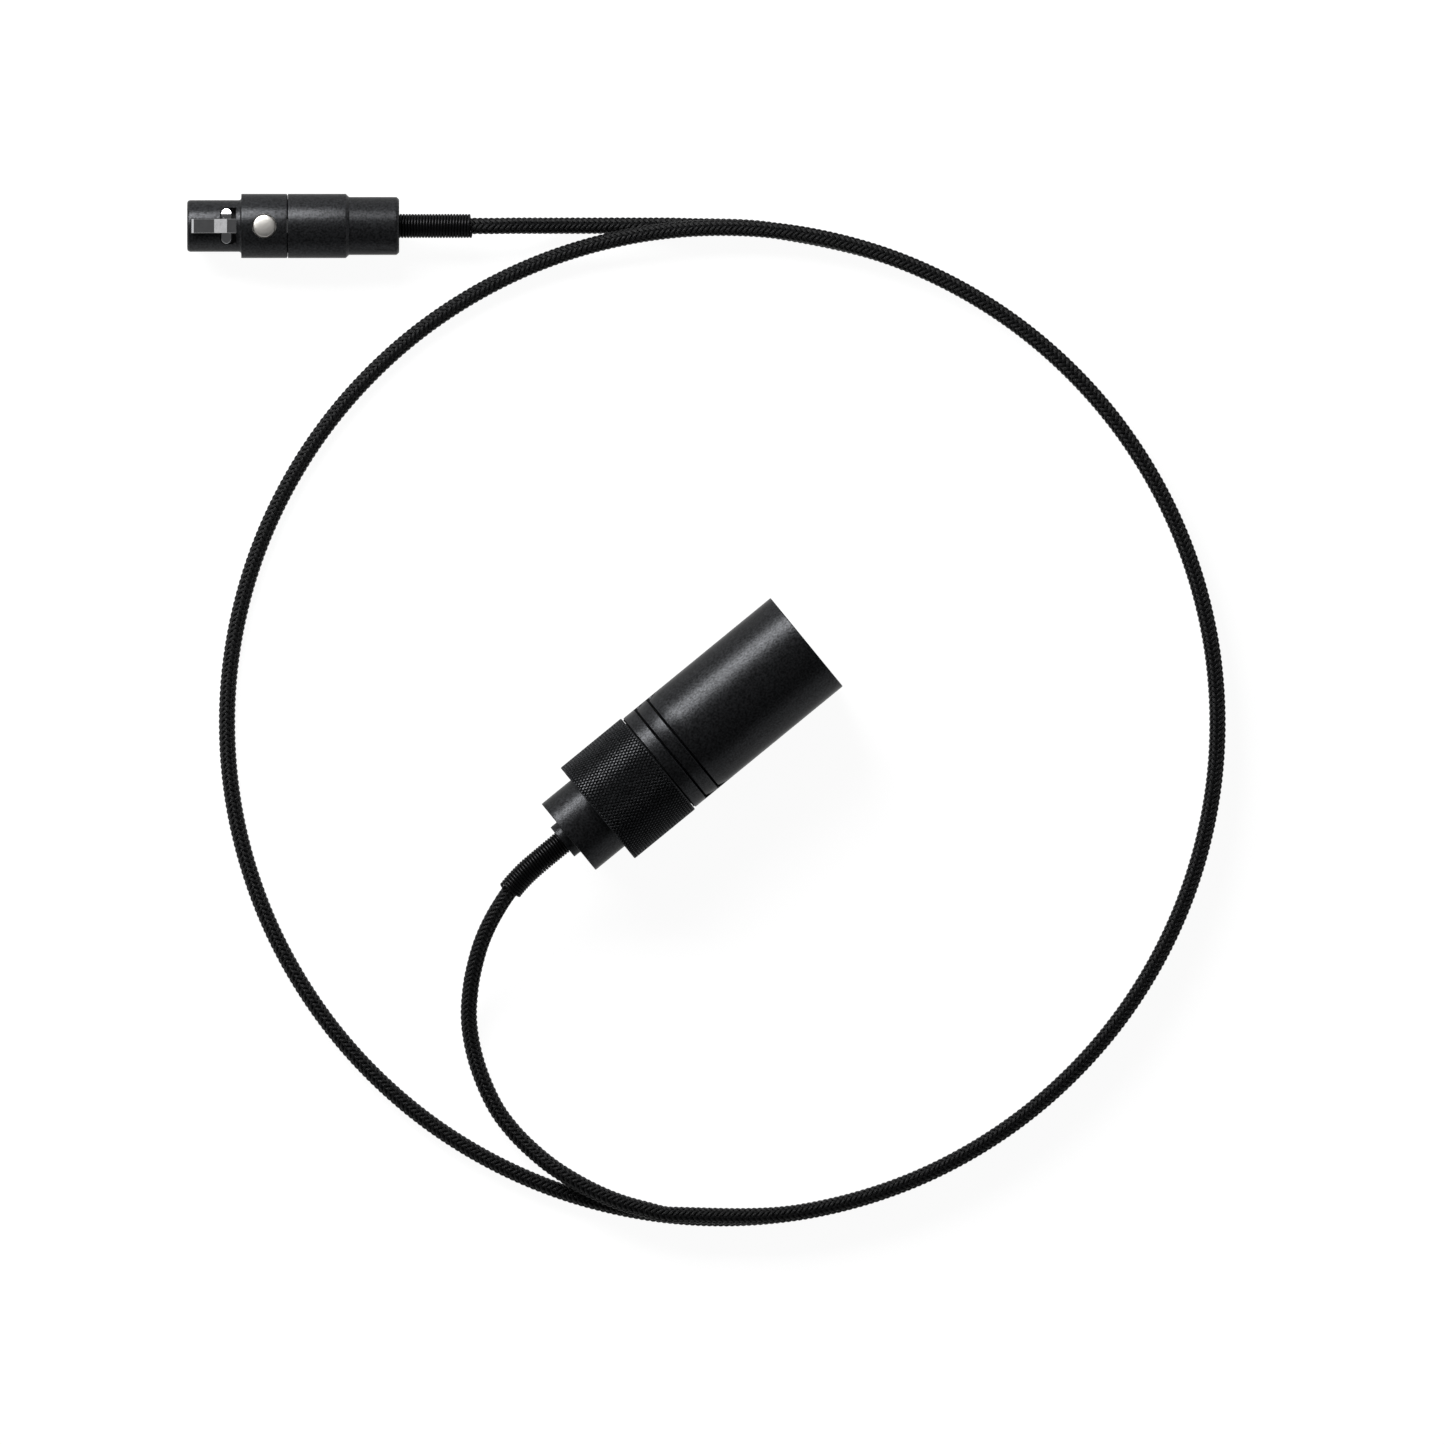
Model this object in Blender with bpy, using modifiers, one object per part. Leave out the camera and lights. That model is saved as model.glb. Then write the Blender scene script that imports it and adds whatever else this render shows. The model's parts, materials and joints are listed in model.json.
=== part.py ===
"""A coiled braided audio cable: a full-size plug on one end and a miniature socket plug on the other.

Units are metres and +Z is up. The full-size plug lies along +X with its mouth forward. The miniature plug
lies along the coil's own X, which is turned by COIL_TURN. The origin is the middle of the two plugs' box, on
the surface that they lie on. Each plug is modelled about its own axis Z, from its mouth at zero back to its
cable at negative z, on an empty that lays it down.
"""

import math

import bmesh
import bpy
from mathutils import Euler, Matrix, Vector

MM = 0.001

# Clearances
FIT_GAP = 0.3 * MM
SNUG_GAP = 0.15 * MM
PIN_PLAY = 0.1 * MM

# The cord and its coil
CORD_DIAMETER = 2.66 * MM
COIL_RADIUS = 82.4 * MM
COIL_CENTRE = (11.79 * MM, -57.66 * MM)
COIL_TURN = math.radians(-39.3)
COIL_LAYER_GAP = 0.5 * MM
COIL_POINTS_PER_TURN = 24
CLIMB_FROM = -235.0
CLIMB_TO = -264.0
COIL_FROM = 84.0
COIL_TO = -441.0

# The strain springs
SPRING_WIRE = 0.5 * MM
SPRING_BORE_GAP = 0.2 * MM
SPRING_LENGTH = 12.2 * MM
SPRING_SEAT_DEPTH = 1.5 * MM
SPRING_TURNS = 12.5
SPRING_POINTS_PER_TURN = 9

# The full-size plug: its shell
XLR_SHELL_DIAMETER = 19.0 * MM
XLR_SHELL_LENGTH = 31.5 * MM
XLR_MOUTH_WALL = 1.4 * MM
XLR_MOUTH_DEPTH = 15.6 * MM
XLR_LIP_HEIGHT = 0.4 * MM
XLR_LIP_LENGTH = 1.0 * MM
XLR_EDGE_ROUND = 0.3 * MM
XLR_THREAD_STEP = 0.9 * MM
XLR_THREAD_WALL = 0.8 * MM
XLR_GRIP_DEPTH = 0.45 * MM
XLR_GRIP_PITCH = 2.65 * MM
XLR_GRIP_RAMP = 1.8 * MM
XLR_GRIP_HALF_ANGLE = 77.0
XLR_GRIP_STEPS = 2
XLR_WINDOW_WIDTH = 3.4 * MM
XLR_WINDOW_LENGTH = 5.0 * MM
XLR_WINDOW_START = 4.0 * MM

# The full-size plug: contacts
XLR_INSERT_LENGTH = 6.0 * MM
XLR_PIN_DIAMETER = 2.36 * MM
XLR_PIN_CIRCLE = 8.64 * MM
XLR_PIN_RECESS = 2.4 * MM
XLR_PIN_ANGLES = (62.0, -62.0, 180.0)
XLR_CUP_DIAMETER = 2.9 * MM
XLR_CUP_LENGTH = 4.2 * MM
XLR_CUP_WALL = 0.5 * MM
XLR_CUP_DEPTH = 3.0 * MM
XLR_CLIP_WIDTH = 2.4 * MM
XLR_CLIP_THICKNESS = 0.4 * MM
XLR_CLIP_LENGTH = 4.6 * MM

# The full-size plug: clamping nut, cap and chuck
XLR_RING_PROUD = 0.25 * MM
XLR_RING_LENGTH = 12.76 * MM
XLR_RING_GAP = 0.5 * MM
XLR_RING_LIP_LENGTH = 1.5 * MM
XLR_RING_CHAMFER = 0.4 * MM
XLR_WASHER_THICKNESS = 0.6 * MM
XLR_FLANGE_THICKNESS = 2.0 * MM
XLR_FLANGE_HEIGHT = 1.5 * MM
XLR_CAP_LENGTH = 6.24 * MM
XLR_CAP_WALL = 0.8 * MM
XLR_CAP_FLOOR = 1.0 * MM
XLR_NECK_DIAMETER = 6.3 * MM
XLR_NECK_LENGTH = 1.33 * MM
XLR_CHUCK_SEAT_THICKNESS = 1.5 * MM
XLR_CHUCK_SLEEVE_SETBACK = 2.7 * MM
XLR_CHUCK_WALL = 0.8 * MM
XLR_CHUCK_TAPER = 1.6 * MM
XLR_CHUCK_SLOT = 0.8 * MM

# The miniature plug: front shell
MINI_BODY_DIAMETER = 10.7 * MM
MINI_NOSE_STEP = 1.05 * MM
MINI_NOSE_LENGTH = 8.5 * MM
MINI_NOSE_WALL = 0.6 * MM
MINI_NOSE_ROUND = 0.4 * MM
MINI_FILLET = 0.5 * MM
MINI_FRONT_LENGTH = 16.56 * MM
MINI_THREAD_STEP = 0.9 * MM
MINI_SPIGOT_LENGTH = 4.0 * MM
MINI_EDGE_CHAMFER = 0.15 * MM

# The miniature plug: back shell
MINI_PARTING_GAP = 0.24 * MM
MINI_LENGTH = 35.28 * MM
MINI_WIDE_LENGTH = 9.6 * MM
MINI_TAIL_STEP = 0.525 * MM
MINI_TAIL_CHAMFER = 0.5 * MM
MINI_TAIL_WALL = 0.9 * MM
MINI_TAIL_FLOOR = 0.8 * MM

# The miniature plug: contacts
MINI_INSERT_RECESS = 0.5 * MM
MINI_SOCKET_DIAMETER = 1.4 * MM
MINI_SOCKET_BORE = 1.0 * MM
MINI_SOCKET_CIRCLE = 3.9 * MM
MINI_SOCKET_DEPTH = 6.0 * MM
MINI_SOCKET_ANGLES = (80.0, -80.0, 180.0)
MINI_CUP_LENGTH = 2.8 * MM
MINI_CUP_DEPTH = 1.8 * MM
MINI_CLAMP_LENGTH = 7.4 * MM
MINI_CLAMP_HOLLOW = 2.4 * MM
MINI_CLAMP_SLOT = 0.6 * MM

# The miniature plug: latch. Its lever's stations are set back from the nose's end, or ahead of it
LEVER_WIDTH = 2.33 * MM
LEVER_SIDE_GAP = 0.25 * MM
LEVER_PROUD = 0.55 * MM
LEVER_TIP = 0.72 * MM
LEVER_TIP_CHAMFER = 0.38 * MM
LEVER_FLAT_AHEAD = 4.0 * MM
LEVER_SLOPE_AHEAD = 1.84 * MM
LEVER_DIP_AHEAD = 0.26 * MM
LEVER_BACK_SINK = 0.5 * MM
LEVER_THICKNESS = 0.6 * MM
LEVER_FRONT_THICKNESS = 0.8 * MM
LEVER_EYE_RADIUS = 0.9 * MM
LEVER_PIVOT_SETBACK = 2.64 * MM
LEVER_HEADROOM = 0.55 * MM
LEVER_DROP = 0.75 * MM
ARM_AHEAD = 2.78 * MM
ARM_LENGTH = 1.7 * MM
ARM_SINK = 0.2 * MM
ARM_THICKNESS = 0.4 * MM
ARM_HALF_ANGLE = 45.0
WINDOW_MARGIN = 0.22 * MM
WINDOW_LENGTH = 2.65 * MM
ARM_RECESS_DEPTH = 1.7 * MM
LATCH_PIN_DIAMETER = 0.8 * MM
LATCH_PIN_LENGTH = 5.2 * MM
LEAF_THICKNESS = 0.15 * MM
LEAF_LENGTH = 2.2 * MM
LEAF_RISE = 0.15 * MM
BUTTON_AHEAD = 3.73 * MM
BUTTON_DIAMETER = 3.66 * MM
BUTTON_SIDE_GAP = 0.22 * MM
BUTTON_CROWN = 0.15 * MM
BUTTON_FLANGE_WIDTH = 0.32 * MM
BUTTON_FLANGE_THICKNESS = 0.2 * MM

# The wires inside the plugs
XLR_WIRE_DIAMETER = 1.0 * MM
MINI_WIRE_DIAMETER = 0.7 * MM
WIRE_POINTS = 8

# How finely round pieces are divided
LARGE_SIDES = 40
MEDIUM_SIDES = 32
SMALL_SIDES = 20
TINY_SIDES = 12
SHARP_ANGLE = math.radians(28)
WELD_DISTANCE = 0.00001

# Sizes worked out from those above
CORD_RADIUS = CORD_DIAMETER / 2
CORD_BORE = CORD_RADIUS + FIT_GAP
SPRING_OUTER = CORD_RADIUS + SPRING_BORE_GAP + SPRING_WIRE
SPRING_MIDDLE = SPRING_OUTER - SPRING_WIRE / 2
SPRING_SEAT_BORE = SPRING_OUTER + FIT_GAP
LAYER_RISE = CORD_DIAMETER + COIL_LAYER_GAP

# Stations along the full-size plug, from its mouth at zero
XLR_LIP_FRONT = -XLR_MOUTH_DEPTH
XLR_LIP_REAR = XLR_LIP_FRONT - XLR_LIP_LENGTH
XLR_INSERT_FRONT = XLR_LIP_REAR - FIT_GAP
XLR_INSERT_REAR = XLR_INSERT_FRONT - XLR_INSERT_LENGTH
XLR_CUP_FRONT = XLR_INSERT_REAR - FIT_GAP
XLR_CUP_REAR = XLR_CUP_FRONT - XLR_CUP_LENGTH
XLR_CLIP_REAR = XLR_CUP_FRONT - XLR_CLIP_LENGTH
XLR_SLEEVE_FRONT = XLR_CLIP_REAR - XLR_CHUCK_SLEEVE_SETBACK
XLR_SHELL_REAR = -XLR_SHELL_LENGTH
XLR_RING_FRONT = XLR_SHELL_REAR - XLR_RING_GAP
XLR_RING_REAR = XLR_RING_FRONT - XLR_RING_LENGTH
XLR_RING_LIP = XLR_RING_REAR + XLR_RING_LIP_LENGTH
XLR_WASHER_REAR = XLR_RING_LIP + FIT_GAP
XLR_WASHER_FRONT = XLR_WASHER_REAR + XLR_WASHER_THICKNESS
XLR_FLANGE_REAR = XLR_WASHER_FRONT + FIT_GAP
XLR_FLANGE_FRONT = XLR_FLANGE_REAR + XLR_FLANGE_THICKNESS
XLR_CHUCK_REAR_FACE = XLR_FLANGE_FRONT + FIT_GAP
XLR_CHUCK_FRONT_FACE = XLR_CHUCK_REAR_FACE + XLR_CHUCK_SEAT_THICKNESS
XLR_SPIGOT_REAR = XLR_CHUCK_FRONT_FACE + FIT_GAP
XLR_CABLE_FACE = XLR_CHUCK_FRONT_FACE + 2 * FIT_GAP
XLR_CAP_REAR = XLR_RING_REAR - XLR_CAP_LENGTH
XLR_NECK_REAR = XLR_CAP_REAR - XLR_NECK_LENGTH
XLR_SEAT_FLOOR = XLR_NECK_REAR + SPRING_SEAT_DEPTH
XLR_CAVITY_REAR = XLR_SEAT_FLOOR + XLR_CAP_FLOOR
XLR_JAWS_REAR = XLR_CAVITY_REAR + 1.5 * MM

# Radii of the full-size plug
XLR_SHELL_RADIUS = XLR_SHELL_DIAMETER / 2
XLR_MOUTH_RADIUS = XLR_SHELL_RADIUS - XLR_MOUTH_WALL
XLR_SPIGOT_RADIUS = XLR_SHELL_RADIUS - XLR_THREAD_STEP
XLR_REAR_BORE = XLR_SPIGOT_RADIUS - XLR_THREAD_WALL
XLR_INSERT_RADIUS = XLR_REAR_BORE - FIT_GAP
XLR_LIP_BORE = XLR_INSERT_RADIUS - XLR_LIP_HEIGHT
XLR_RING_RADIUS = XLR_SHELL_RADIUS + XLR_RING_PROUD
XLR_RING_BORE = XLR_SPIGOT_RADIUS + FIT_GAP
XLR_FLANGE_RADIUS = XLR_RING_BORE - FIT_GAP
XLR_CAP_RADIUS = XLR_FLANGE_RADIUS - XLR_FLANGE_HEIGHT
XLR_LIP_HOLE = XLR_CAP_RADIUS + FIT_GAP
XLR_SLEEVE_RADIUS = XLR_REAR_BORE - FIT_GAP
XLR_CAVITY_RADIUS = XLR_CAP_RADIUS - XLR_CAP_WALL
XLR_JAWS_RADIUS = XLR_CAVITY_RADIUS - FIT_GAP

# Stations and radii of the miniature plug
MINI_BODY_RADIUS = MINI_BODY_DIAMETER / 2
MINI_NOSE_RADIUS = MINI_BODY_RADIUS - MINI_NOSE_STEP
MINI_SPIGOT_RADIUS = MINI_BODY_RADIUS - MINI_THREAD_STEP
MINI_NOSE_BORE = MINI_NOSE_RADIUS - MINI_NOSE_WALL
MINI_FRONT_REAR = -MINI_FRONT_LENGTH
MINI_SPIGOT_REAR = MINI_FRONT_REAR - MINI_SPIGOT_LENGTH
MINI_BACK_FRONT = MINI_FRONT_REAR - MINI_PARTING_GAP
MINI_WIDE_REAR = MINI_BACK_FRONT - MINI_WIDE_LENGTH
MINI_REAR = -MINI_LENGTH
MINI_TAIL_RADIUS = MINI_BODY_RADIUS - MINI_TAIL_STEP
MINI_TAIL_BORE = MINI_TAIL_RADIUS - MINI_TAIL_WALL
MINI_THREAD_BORE = MINI_SPIGOT_RADIUS + FIT_GAP
MINI_THREAD_END = MINI_SPIGOT_REAR - 2 * FIT_GAP
MINI_SEAT_FLOOR = MINI_REAR + SPRING_SEAT_DEPTH
MINI_CAVITY_REAR = MINI_SEAT_FLOOR + MINI_TAIL_FLOOR
LEVER_PIVOT = MINI_FRONT_REAR - LEVER_PIVOT_SETBACK
MINI_INSERT_FRONT = -MINI_INSERT_RECESS
MINI_INSERT_REAR = LEVER_PIVOT + LEVER_EYE_RADIUS + FIT_GAP
MINI_INSERT_RADIUS = MINI_NOSE_BORE - FIT_GAP
MINI_SOCKET_RADIUS = MINI_SOCKET_DIAMETER / 2
MINI_CUP_REAR = MINI_INSERT_REAR - MINI_CUP_LENGTH
MINI_CLAMP_FRONT = MINI_CUP_REAR - 4 * FIT_GAP
MINI_CLAMP_REAR = MINI_CLAMP_FRONT - MINI_CLAMP_LENGTH
MINI_CLAMP_FLOOR = MINI_CLAMP_FRONT - MINI_CLAMP_HOLLOW
MINI_CLAMP_RADIUS = MINI_TAIL_BORE - FIT_GAP
MINI_CABLE_FACE = MINI_CLAMP_FLOOR + 2 * FIT_GAP

# Stations and heights of the latch
LEVER_TOP = MINI_NOSE_RADIUS + LEVER_PROUD
LEVER_BACK_TOP = MINI_NOSE_RADIUS - LEVER_BACK_SINK
LEVER_BACK_LOW = LEVER_BACK_TOP - LEVER_THICKNESS
LEVER_FRONT_LOW = LEVER_TOP - LEVER_FRONT_THICKNESS
LEVER_FLAT_END = LEVER_FLAT_AHEAD - MINI_NOSE_LENGTH
LEVER_SLOPE_END = LEVER_SLOPE_AHEAD - MINI_NOSE_LENGTH
LEVER_DIP_END = LEVER_DIP_AHEAD - MINI_NOSE_LENGTH
LEVER_EYE_FRONT = LEVER_PIVOT + LEVER_EYE_RADIUS
LEVER_CHANNEL_TOP = LEVER_BACK_TOP + LEVER_HEADROOM
LEVER_CHANNEL_FLOOR = LEVER_BACK_LOW - LEVER_DROP
LEVER_CUT_FLOOR = LEVER_BACK_LOW - LEVER_THICKNESS
LEVER_PIVOT_PLACE = (LEVER_BACK_LOW, 0.0, LEVER_PIVOT)
ARM_FRONT = ARM_AHEAD - MINI_NOSE_LENGTH
ARM_REAR = ARM_FRONT - ARM_LENGTH
ARM_RADIUS = MINI_NOSE_RADIUS - ARM_SINK
ARM_RECESS_FLOOR = LEVER_BACK_LOW - ARM_RECESS_DEPTH
WINDOW_FRONT = ARM_FRONT + WINDOW_MARGIN
WINDOW_REAR = WINDOW_FRONT - WINDOW_LENGTH
BUTTON_PLACE = (0.0, 0.0, MINI_FRONT_REAR + BUTTON_AHEAD)
BUTTON_RADIUS = BUTTON_DIAMETER / 2
BUTTON_WELL_RADIUS = BUTTON_RADIUS + BUTTON_SIDE_GAP
BUTTON_FLANGE_RADIUS = BUTTON_RADIUS + BUTTON_FLANGE_WIDTH
BUTTON_LOW = LEVER_BACK_TOP + FIT_GAP
BUTTON_FLANGE_TOP = BUTTON_LOW + BUTTON_FLANGE_THICKNESS
BUTTON_POCKET_RADIUS = BUTTON_FLANGE_RADIUS + SNUG_GAP
BUTTON_POCKET_TOP = BUTTON_FLANGE_TOP + LEVER_SIDE_GAP

# Turns that lay a piece of the miniature plug across it, or stand it up in it
ACROSS = (math.radians(90), 0.0, 0.0)
UPRIGHT = (0.0, math.radians(90), 0.0)

# Where the cord leaves each plug, in the coil's own frame, and how high the two plugs' axes lie
XLR_CABLE_END = (-26.6 * MM, -19.8 * MM)
MINI_CABLE_END = (-53.75 * MM, 82.7 * MM)
XLR_HEIGHT = XLR_RING_RADIUS
MINI_HEIGHT = MINI_BODY_RADIUS

# The cord's free stretches in the coil's own frame, in millimetres: x, y, and the height of its middle
MINI_RUN = (
    (-49.0, 82.7, 5.35),
    (-44.5, 82.7, 5.35),
    (-41.0, 82.7, 5.34),
    (-38.2, 82.7, 5.28),
    (-34.5, 82.75, 4.6),
    (-30.0, 82.75, 3.1),
    (-25.5, 82.75, 1.9),
    (-20.5, 82.75, 1.4),
    (-14.5, 82.75, 1.33),
    (-7.0, 82.7, 1.33),
)
XLR_RUN = (
    (-8.6, -81.8, 4.49),
    (-12.8, -80.9, 4.48),
    (-17.0, -79.7, 4.42),
    (-20.9, -78.1, 4.35),
    (-24.7, -76.1, 4.05),
    (-28.3, -73.8, 3.25),
    (-31.6, -71.1, 2.2),
    (-34.7, -68.0, 1.5),
    (-37.6, -64.1, 1.33),
    (-40.0, -59.0, 1.33),
    (-41.5, -54.0, 1.55),
    (-42.15, -49.0, 2.3),
    (-41.85, -44.0, 3.6),
    (-41.1, -40.1, 4.9),
    (-39.9, -36.1, 6.4),
    (-38.05, -32.15, 7.8),
    (-35.4, -28.0, 8.95),
    (-32.75, -25.0, 9.5),
    (-29.7, -22.35, 9.72),
)


# ---------------------------------------------------------------- tools


def clear_scene():
    for obj in list(bpy.data.objects):
        bpy.data.objects.remove(obj, do_unlink=True)


def new_collection(name):
    collection = bpy.data.collections.new(name)
    bpy.context.scene.collection.children.link(collection)
    return collection


def material(name, colour, roughness, metallic):
    found = bpy.data.materials.get(name)
    if found:
        return found
    made = bpy.data.materials.new(name)
    made.use_nodes = True
    shader = made.node_tree.nodes["Principled BSDF"]
    shader.inputs["Base Color"].default_value = (*colour, 1.0)
    shader.inputs["Roughness"].default_value = roughness
    shader.inputs["Metallic"].default_value = metallic
    made.diffuse_color = (*colour, 1.0)
    return made


def black_metal():
    return material("black_anodised_metal", (0.035, 0.036, 0.04), 0.5, 0.7)


def satin_metal():
    return material("satin_nickel", (0.62, 0.6, 0.57), 0.35, 1.0)


def chrome_metal():
    return material("chromed_steel", (0.55, 0.55, 0.56), 0.12, 1.0)


def gold_metal():
    return material("gold_plate", (0.8, 0.6, 0.25), 0.25, 1.0)


def black_plastic():
    return material("black_plastic", (0.03, 0.03, 0.032), 0.45, 0.0)


def black_braid():
    return material("black_braid", (0.02, 0.02, 0.021), 0.8, 0.0)


def black_wire():
    return material("black_spring_wire", (0.03, 0.03, 0.032), 0.4, 0.6)


def fibre():
    return material("grey_fibre", (0.25, 0.25, 0.24), 0.8, 0.0)


def wire_cover(number):
    colours = ((0.7, 0.1, 0.08), (0.75, 0.75, 0.72), (0.7, 0.45, 0.25))
    return material(f"wire_cover_{number}", colours[number - 1], 0.5, 0.0)


def add_object(name, data, finish, parent=None, location=(0, 0, 0), rotation=(0, 0, 0)):
    """Adds a piece to the part, on the plug that carries it."""
    obj = bpy.data.objects.new(name, data)
    parts.objects.link(obj)
    obj.parent = parent
    obj.location = location
    obj.rotation_euler = rotation
    data.materials.append(finish)
    return obj


def baked_mesh(obj):
    """The evaluated mesh of an object, its loose caps welded, which then replaces the object."""
    graph = bpy.context.evaluated_depsgraph_get()
    mesh = bpy.data.meshes.new_from_object(obj.evaluated_get(graph))
    bpy.data.objects.remove(obj, do_unlink=True)
    mesh_tools = bmesh.new()
    mesh_tools.from_mesh(mesh)
    bmesh.ops.remove_doubles(mesh_tools, verts=mesh_tools.verts, dist=WELD_DISTANCE)
    mesh_tools.to_mesh(mesh)
    mesh_tools.free()
    return mesh


def turned_mesh(name, outline, sides):
    """A profile of (radius, z) points turned about Z. It runs down its outer side and up its inner side."""
    profile = bpy.data.meshes.new(name)
    points = [(radius, 0.0, z) for radius, z in outline]
    count = len(points)
    closed = min(radius for radius, z in outline) > 0
    edges = [(i, (i + 1) % count) for i in range(count if closed else count - 1)]
    profile.from_pydata(points, edges, [])
    holder = bpy.data.objects.new(name, profile)
    bpy.context.scene.collection.objects.link(holder)
    turn = holder.modifiers.new("Turn", "SCREW")
    turn.axis = "Z"
    turn.steps = sides
    turn.render_steps = sides
    turn.use_merge_vertices = True
    turn.merge_threshold = WELD_DISTANCE
    bpy.context.view_layer.update()
    mesh = baked_mesh(holder)
    mesh.name = name
    mesh.shade_smooth()
    mesh.set_sharp_from_angle(angle=SHARP_ANGLE)
    return mesh


def turned(name, outline, sides, finish, parent=None, location=(0, 0, 0), rotation=(0, 0, 0)):
    return add_object(name, turned_mesh(name, outline, sides), finish, parent, location, rotation)


def plate_mesh(name, outline, width):
    """A flat outline of (z, x) points as a plate across Y, in a plug's own frame."""
    curve = bpy.data.curves.new(name, "CURVE")
    curve.dimensions = "2D"
    curve.fill_mode = "BOTH"
    curve.extrude = width / 2
    spline = curve.splines.new("POLY")
    spline.points.add(len(outline) - 1)
    for point, (z, x) in zip(spline.points, outline):
        point.co = (z, x, 0.0, 1.0)
    spline.use_cyclic_u = True
    holder = bpy.data.objects.new(name, curve)
    bpy.context.scene.collection.objects.link(holder)
    bpy.context.view_layer.update()
    mesh = baked_mesh(holder)
    mesh.transform(Matrix(((0, 1, 0, 0), (0, 0, 1, 0), (1, 0, 0, 0), (0, 0, 0, 1))))
    mesh.name = name
    return mesh


def arc_mesh(name, outline, half_angle, middle=0.0, steps=12):
    """A closed (radius, z) outline swept about Z, half_angle degrees to each side of the middle angle."""
    sweep = bmesh.new()
    start = Matrix.Rotation(math.radians(middle - half_angle), 4, "Z")
    corners = [sweep.verts.new(start @ Vector((radius, 0.0, z))) for radius, z in outline]
    face = sweep.faces.new(corners)
    bmesh.ops.spin(
        sweep,
        geom=[face, *face.edges, *face.verts],
        angle=math.radians(2 * half_angle),
        steps=steps,
        axis=(0, 0, 1),
        cent=(0, 0, 0),
        use_duplicate=False,
    )
    bmesh.ops.recalc_face_normals(sweep, faces=sweep.faces)
    mesh = bpy.data.meshes.new(name)
    sweep.to_mesh(mesh)
    sweep.free()
    return mesh


def box_mesh(name, low, high):
    box = bmesh.new()
    bmesh.ops.create_cube(box, size=1.0)
    size = Vector(high) - Vector(low)
    middle = (Vector(high) + Vector(low)) / 2
    bmesh.ops.scale(box, vec=size, verts=box.verts)
    bmesh.ops.translate(box, vec=middle, verts=box.verts)
    mesh = bpy.data.meshes.new(name)
    box.to_mesh(mesh)
    box.free()
    return mesh


def rod_mesh(name, radius, low, high, sides):
    """A plain cylinder along Z between two heights."""
    rod = bmesh.new()
    bmesh.ops.create_cone(
        rod,
        cap_ends=True,
        segments=sides,
        radius1=radius,
        radius2=radius,
        depth=high - low,
        matrix=Matrix.Translation((0, 0, (low + high) / 2)),
    )
    mesh = bpy.data.meshes.new(name)
    rod.to_mesh(mesh)
    rod.free()
    return mesh


def cut(target, mesh, location=(0, 0, 0), rotation=(0, 0, 0), joins=False):
    """Cuts a shape, placed on the target's own plug, out of the target, or joins it on."""
    cutter = bpy.data.objects.new(mesh.name, mesh)
    cutters.objects.link(cutter)
    cutter.parent = target.parent
    cutter.location = location
    cutter.rotation_euler = rotation
    cutter.hide_render = True
    cutter.display_type = "WIRE"
    step = target.modifiers.new(mesh.name, "BOOLEAN")
    step.operation = "UNION" if joins else "DIFFERENCE"
    step.object = cutter
    return cutter


def tube(name, points, diameter, resolution, finish, parent=None):
    """A round wire along a list of points, with filled ends."""
    curve = bpy.data.curves.new(name, "CURVE")
    curve.dimensions = "3D"
    curve.bevel_depth = diameter / 2
    curve.bevel_resolution = resolution
    curve.use_fill_caps = True
    spline = curve.splines.new("POLY")
    spline.points.add(len(points) - 1)
    for point, place in zip(spline.points, points):
        point.co = (*place, 1.0)
    spline.use_smooth = True
    return add_object(name, curve, finish, parent)


def polar_point(centre, angle, radius, z=0.0):
    """A point at an angle in degrees about a centre."""
    turn = math.radians(angle)
    return (centre[0] + radius * math.cos(turn), centre[1] + radius * math.sin(turn), z)


def new_plug(name, cable_end, length, height, rotation):
    """The empty that carries a plug, at its mouth, set so that the cord leaves the plug at cable_end."""
    plug = bpy.data.objects.new(name, None)
    parts.objects.link(plug)
    forward = Euler(rotation).to_matrix() @ Vector((0, 0, 1))
    plug.location = coil_point(*cable_end, height) + forward * length
    plug.rotation_euler = rotation
    bpy.context.view_layer.update()
    return plug


# ---------------------------------------------------------------- the cord's route


def coil_point(x, y, z):
    """A point of the coil's own frame, in the part's frame."""
    turned_point = Matrix.Rotation(COIL_TURN, 3, "Z") @ Vector((x, y, z))
    return turned_point + Vector((*COIL_CENTRE, 0.0))


def smooth_route(anchors, spacing):
    """Points about one spacing apart along a smooth curve through the anchors."""
    route = []
    last = len(anchors) - 1
    for i in range(last):
        before, a, b, after = (anchors[max(0, min(last, i + k))] for k in (-1, 0, 1, 2))
        start_slope = (b - before) * ((b - a).length / max((b - a).length + (a - before).length, 1e-9))
        end_slope = (after - a) * ((b - a).length / max((after - b).length + (b - a).length, 1e-9))
        steps = max(1, round((b - a).length / spacing))
        for step in range(steps):
            t = step / steps
            route.append(
                a * (2 * t**3 - 3 * t**2 + 1)
                + start_slope * (t**3 - 2 * t**2 + t)
                + b * (3 * t**2 - 2 * t**3)
                + end_slope * (t**3 - t**2)
            )
    route.append(anchors[-1])
    return route


def ease(t):
    t = max(0.0, min(1.0, t))
    return t * t * (3 - 2 * t)


def coil_route():
    """The coil's turns: on the floor at first, then climbing over the cord's start to lie on themselves."""
    step = 360.0 / COIL_POINTS_PER_TURN
    count = round((COIL_FROM - COIL_TO) / step)
    route = []
    for i in range(count + 1):
        angle = COIL_FROM - i * step
        climbed = ease((angle - CLIMB_FROM) / (CLIMB_TO - CLIMB_FROM))
        height = CORD_RADIUS + LAYER_RISE * climbed
        x = COIL_RADIUS * math.cos(math.radians(angle))
        y = COIL_RADIUS * math.sin(math.radians(angle))
        route.append(coil_point(x, y, height))
    return route


def run_points(run):
    return [coil_point(x * MM, y * MM, z * MM) for x, y, z in run]


def plug_point(plug, z):
    """A point on a plug's axis, in the part's frame."""
    return plug.matrix_world @ Vector((0.0, 0.0, z))


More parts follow.
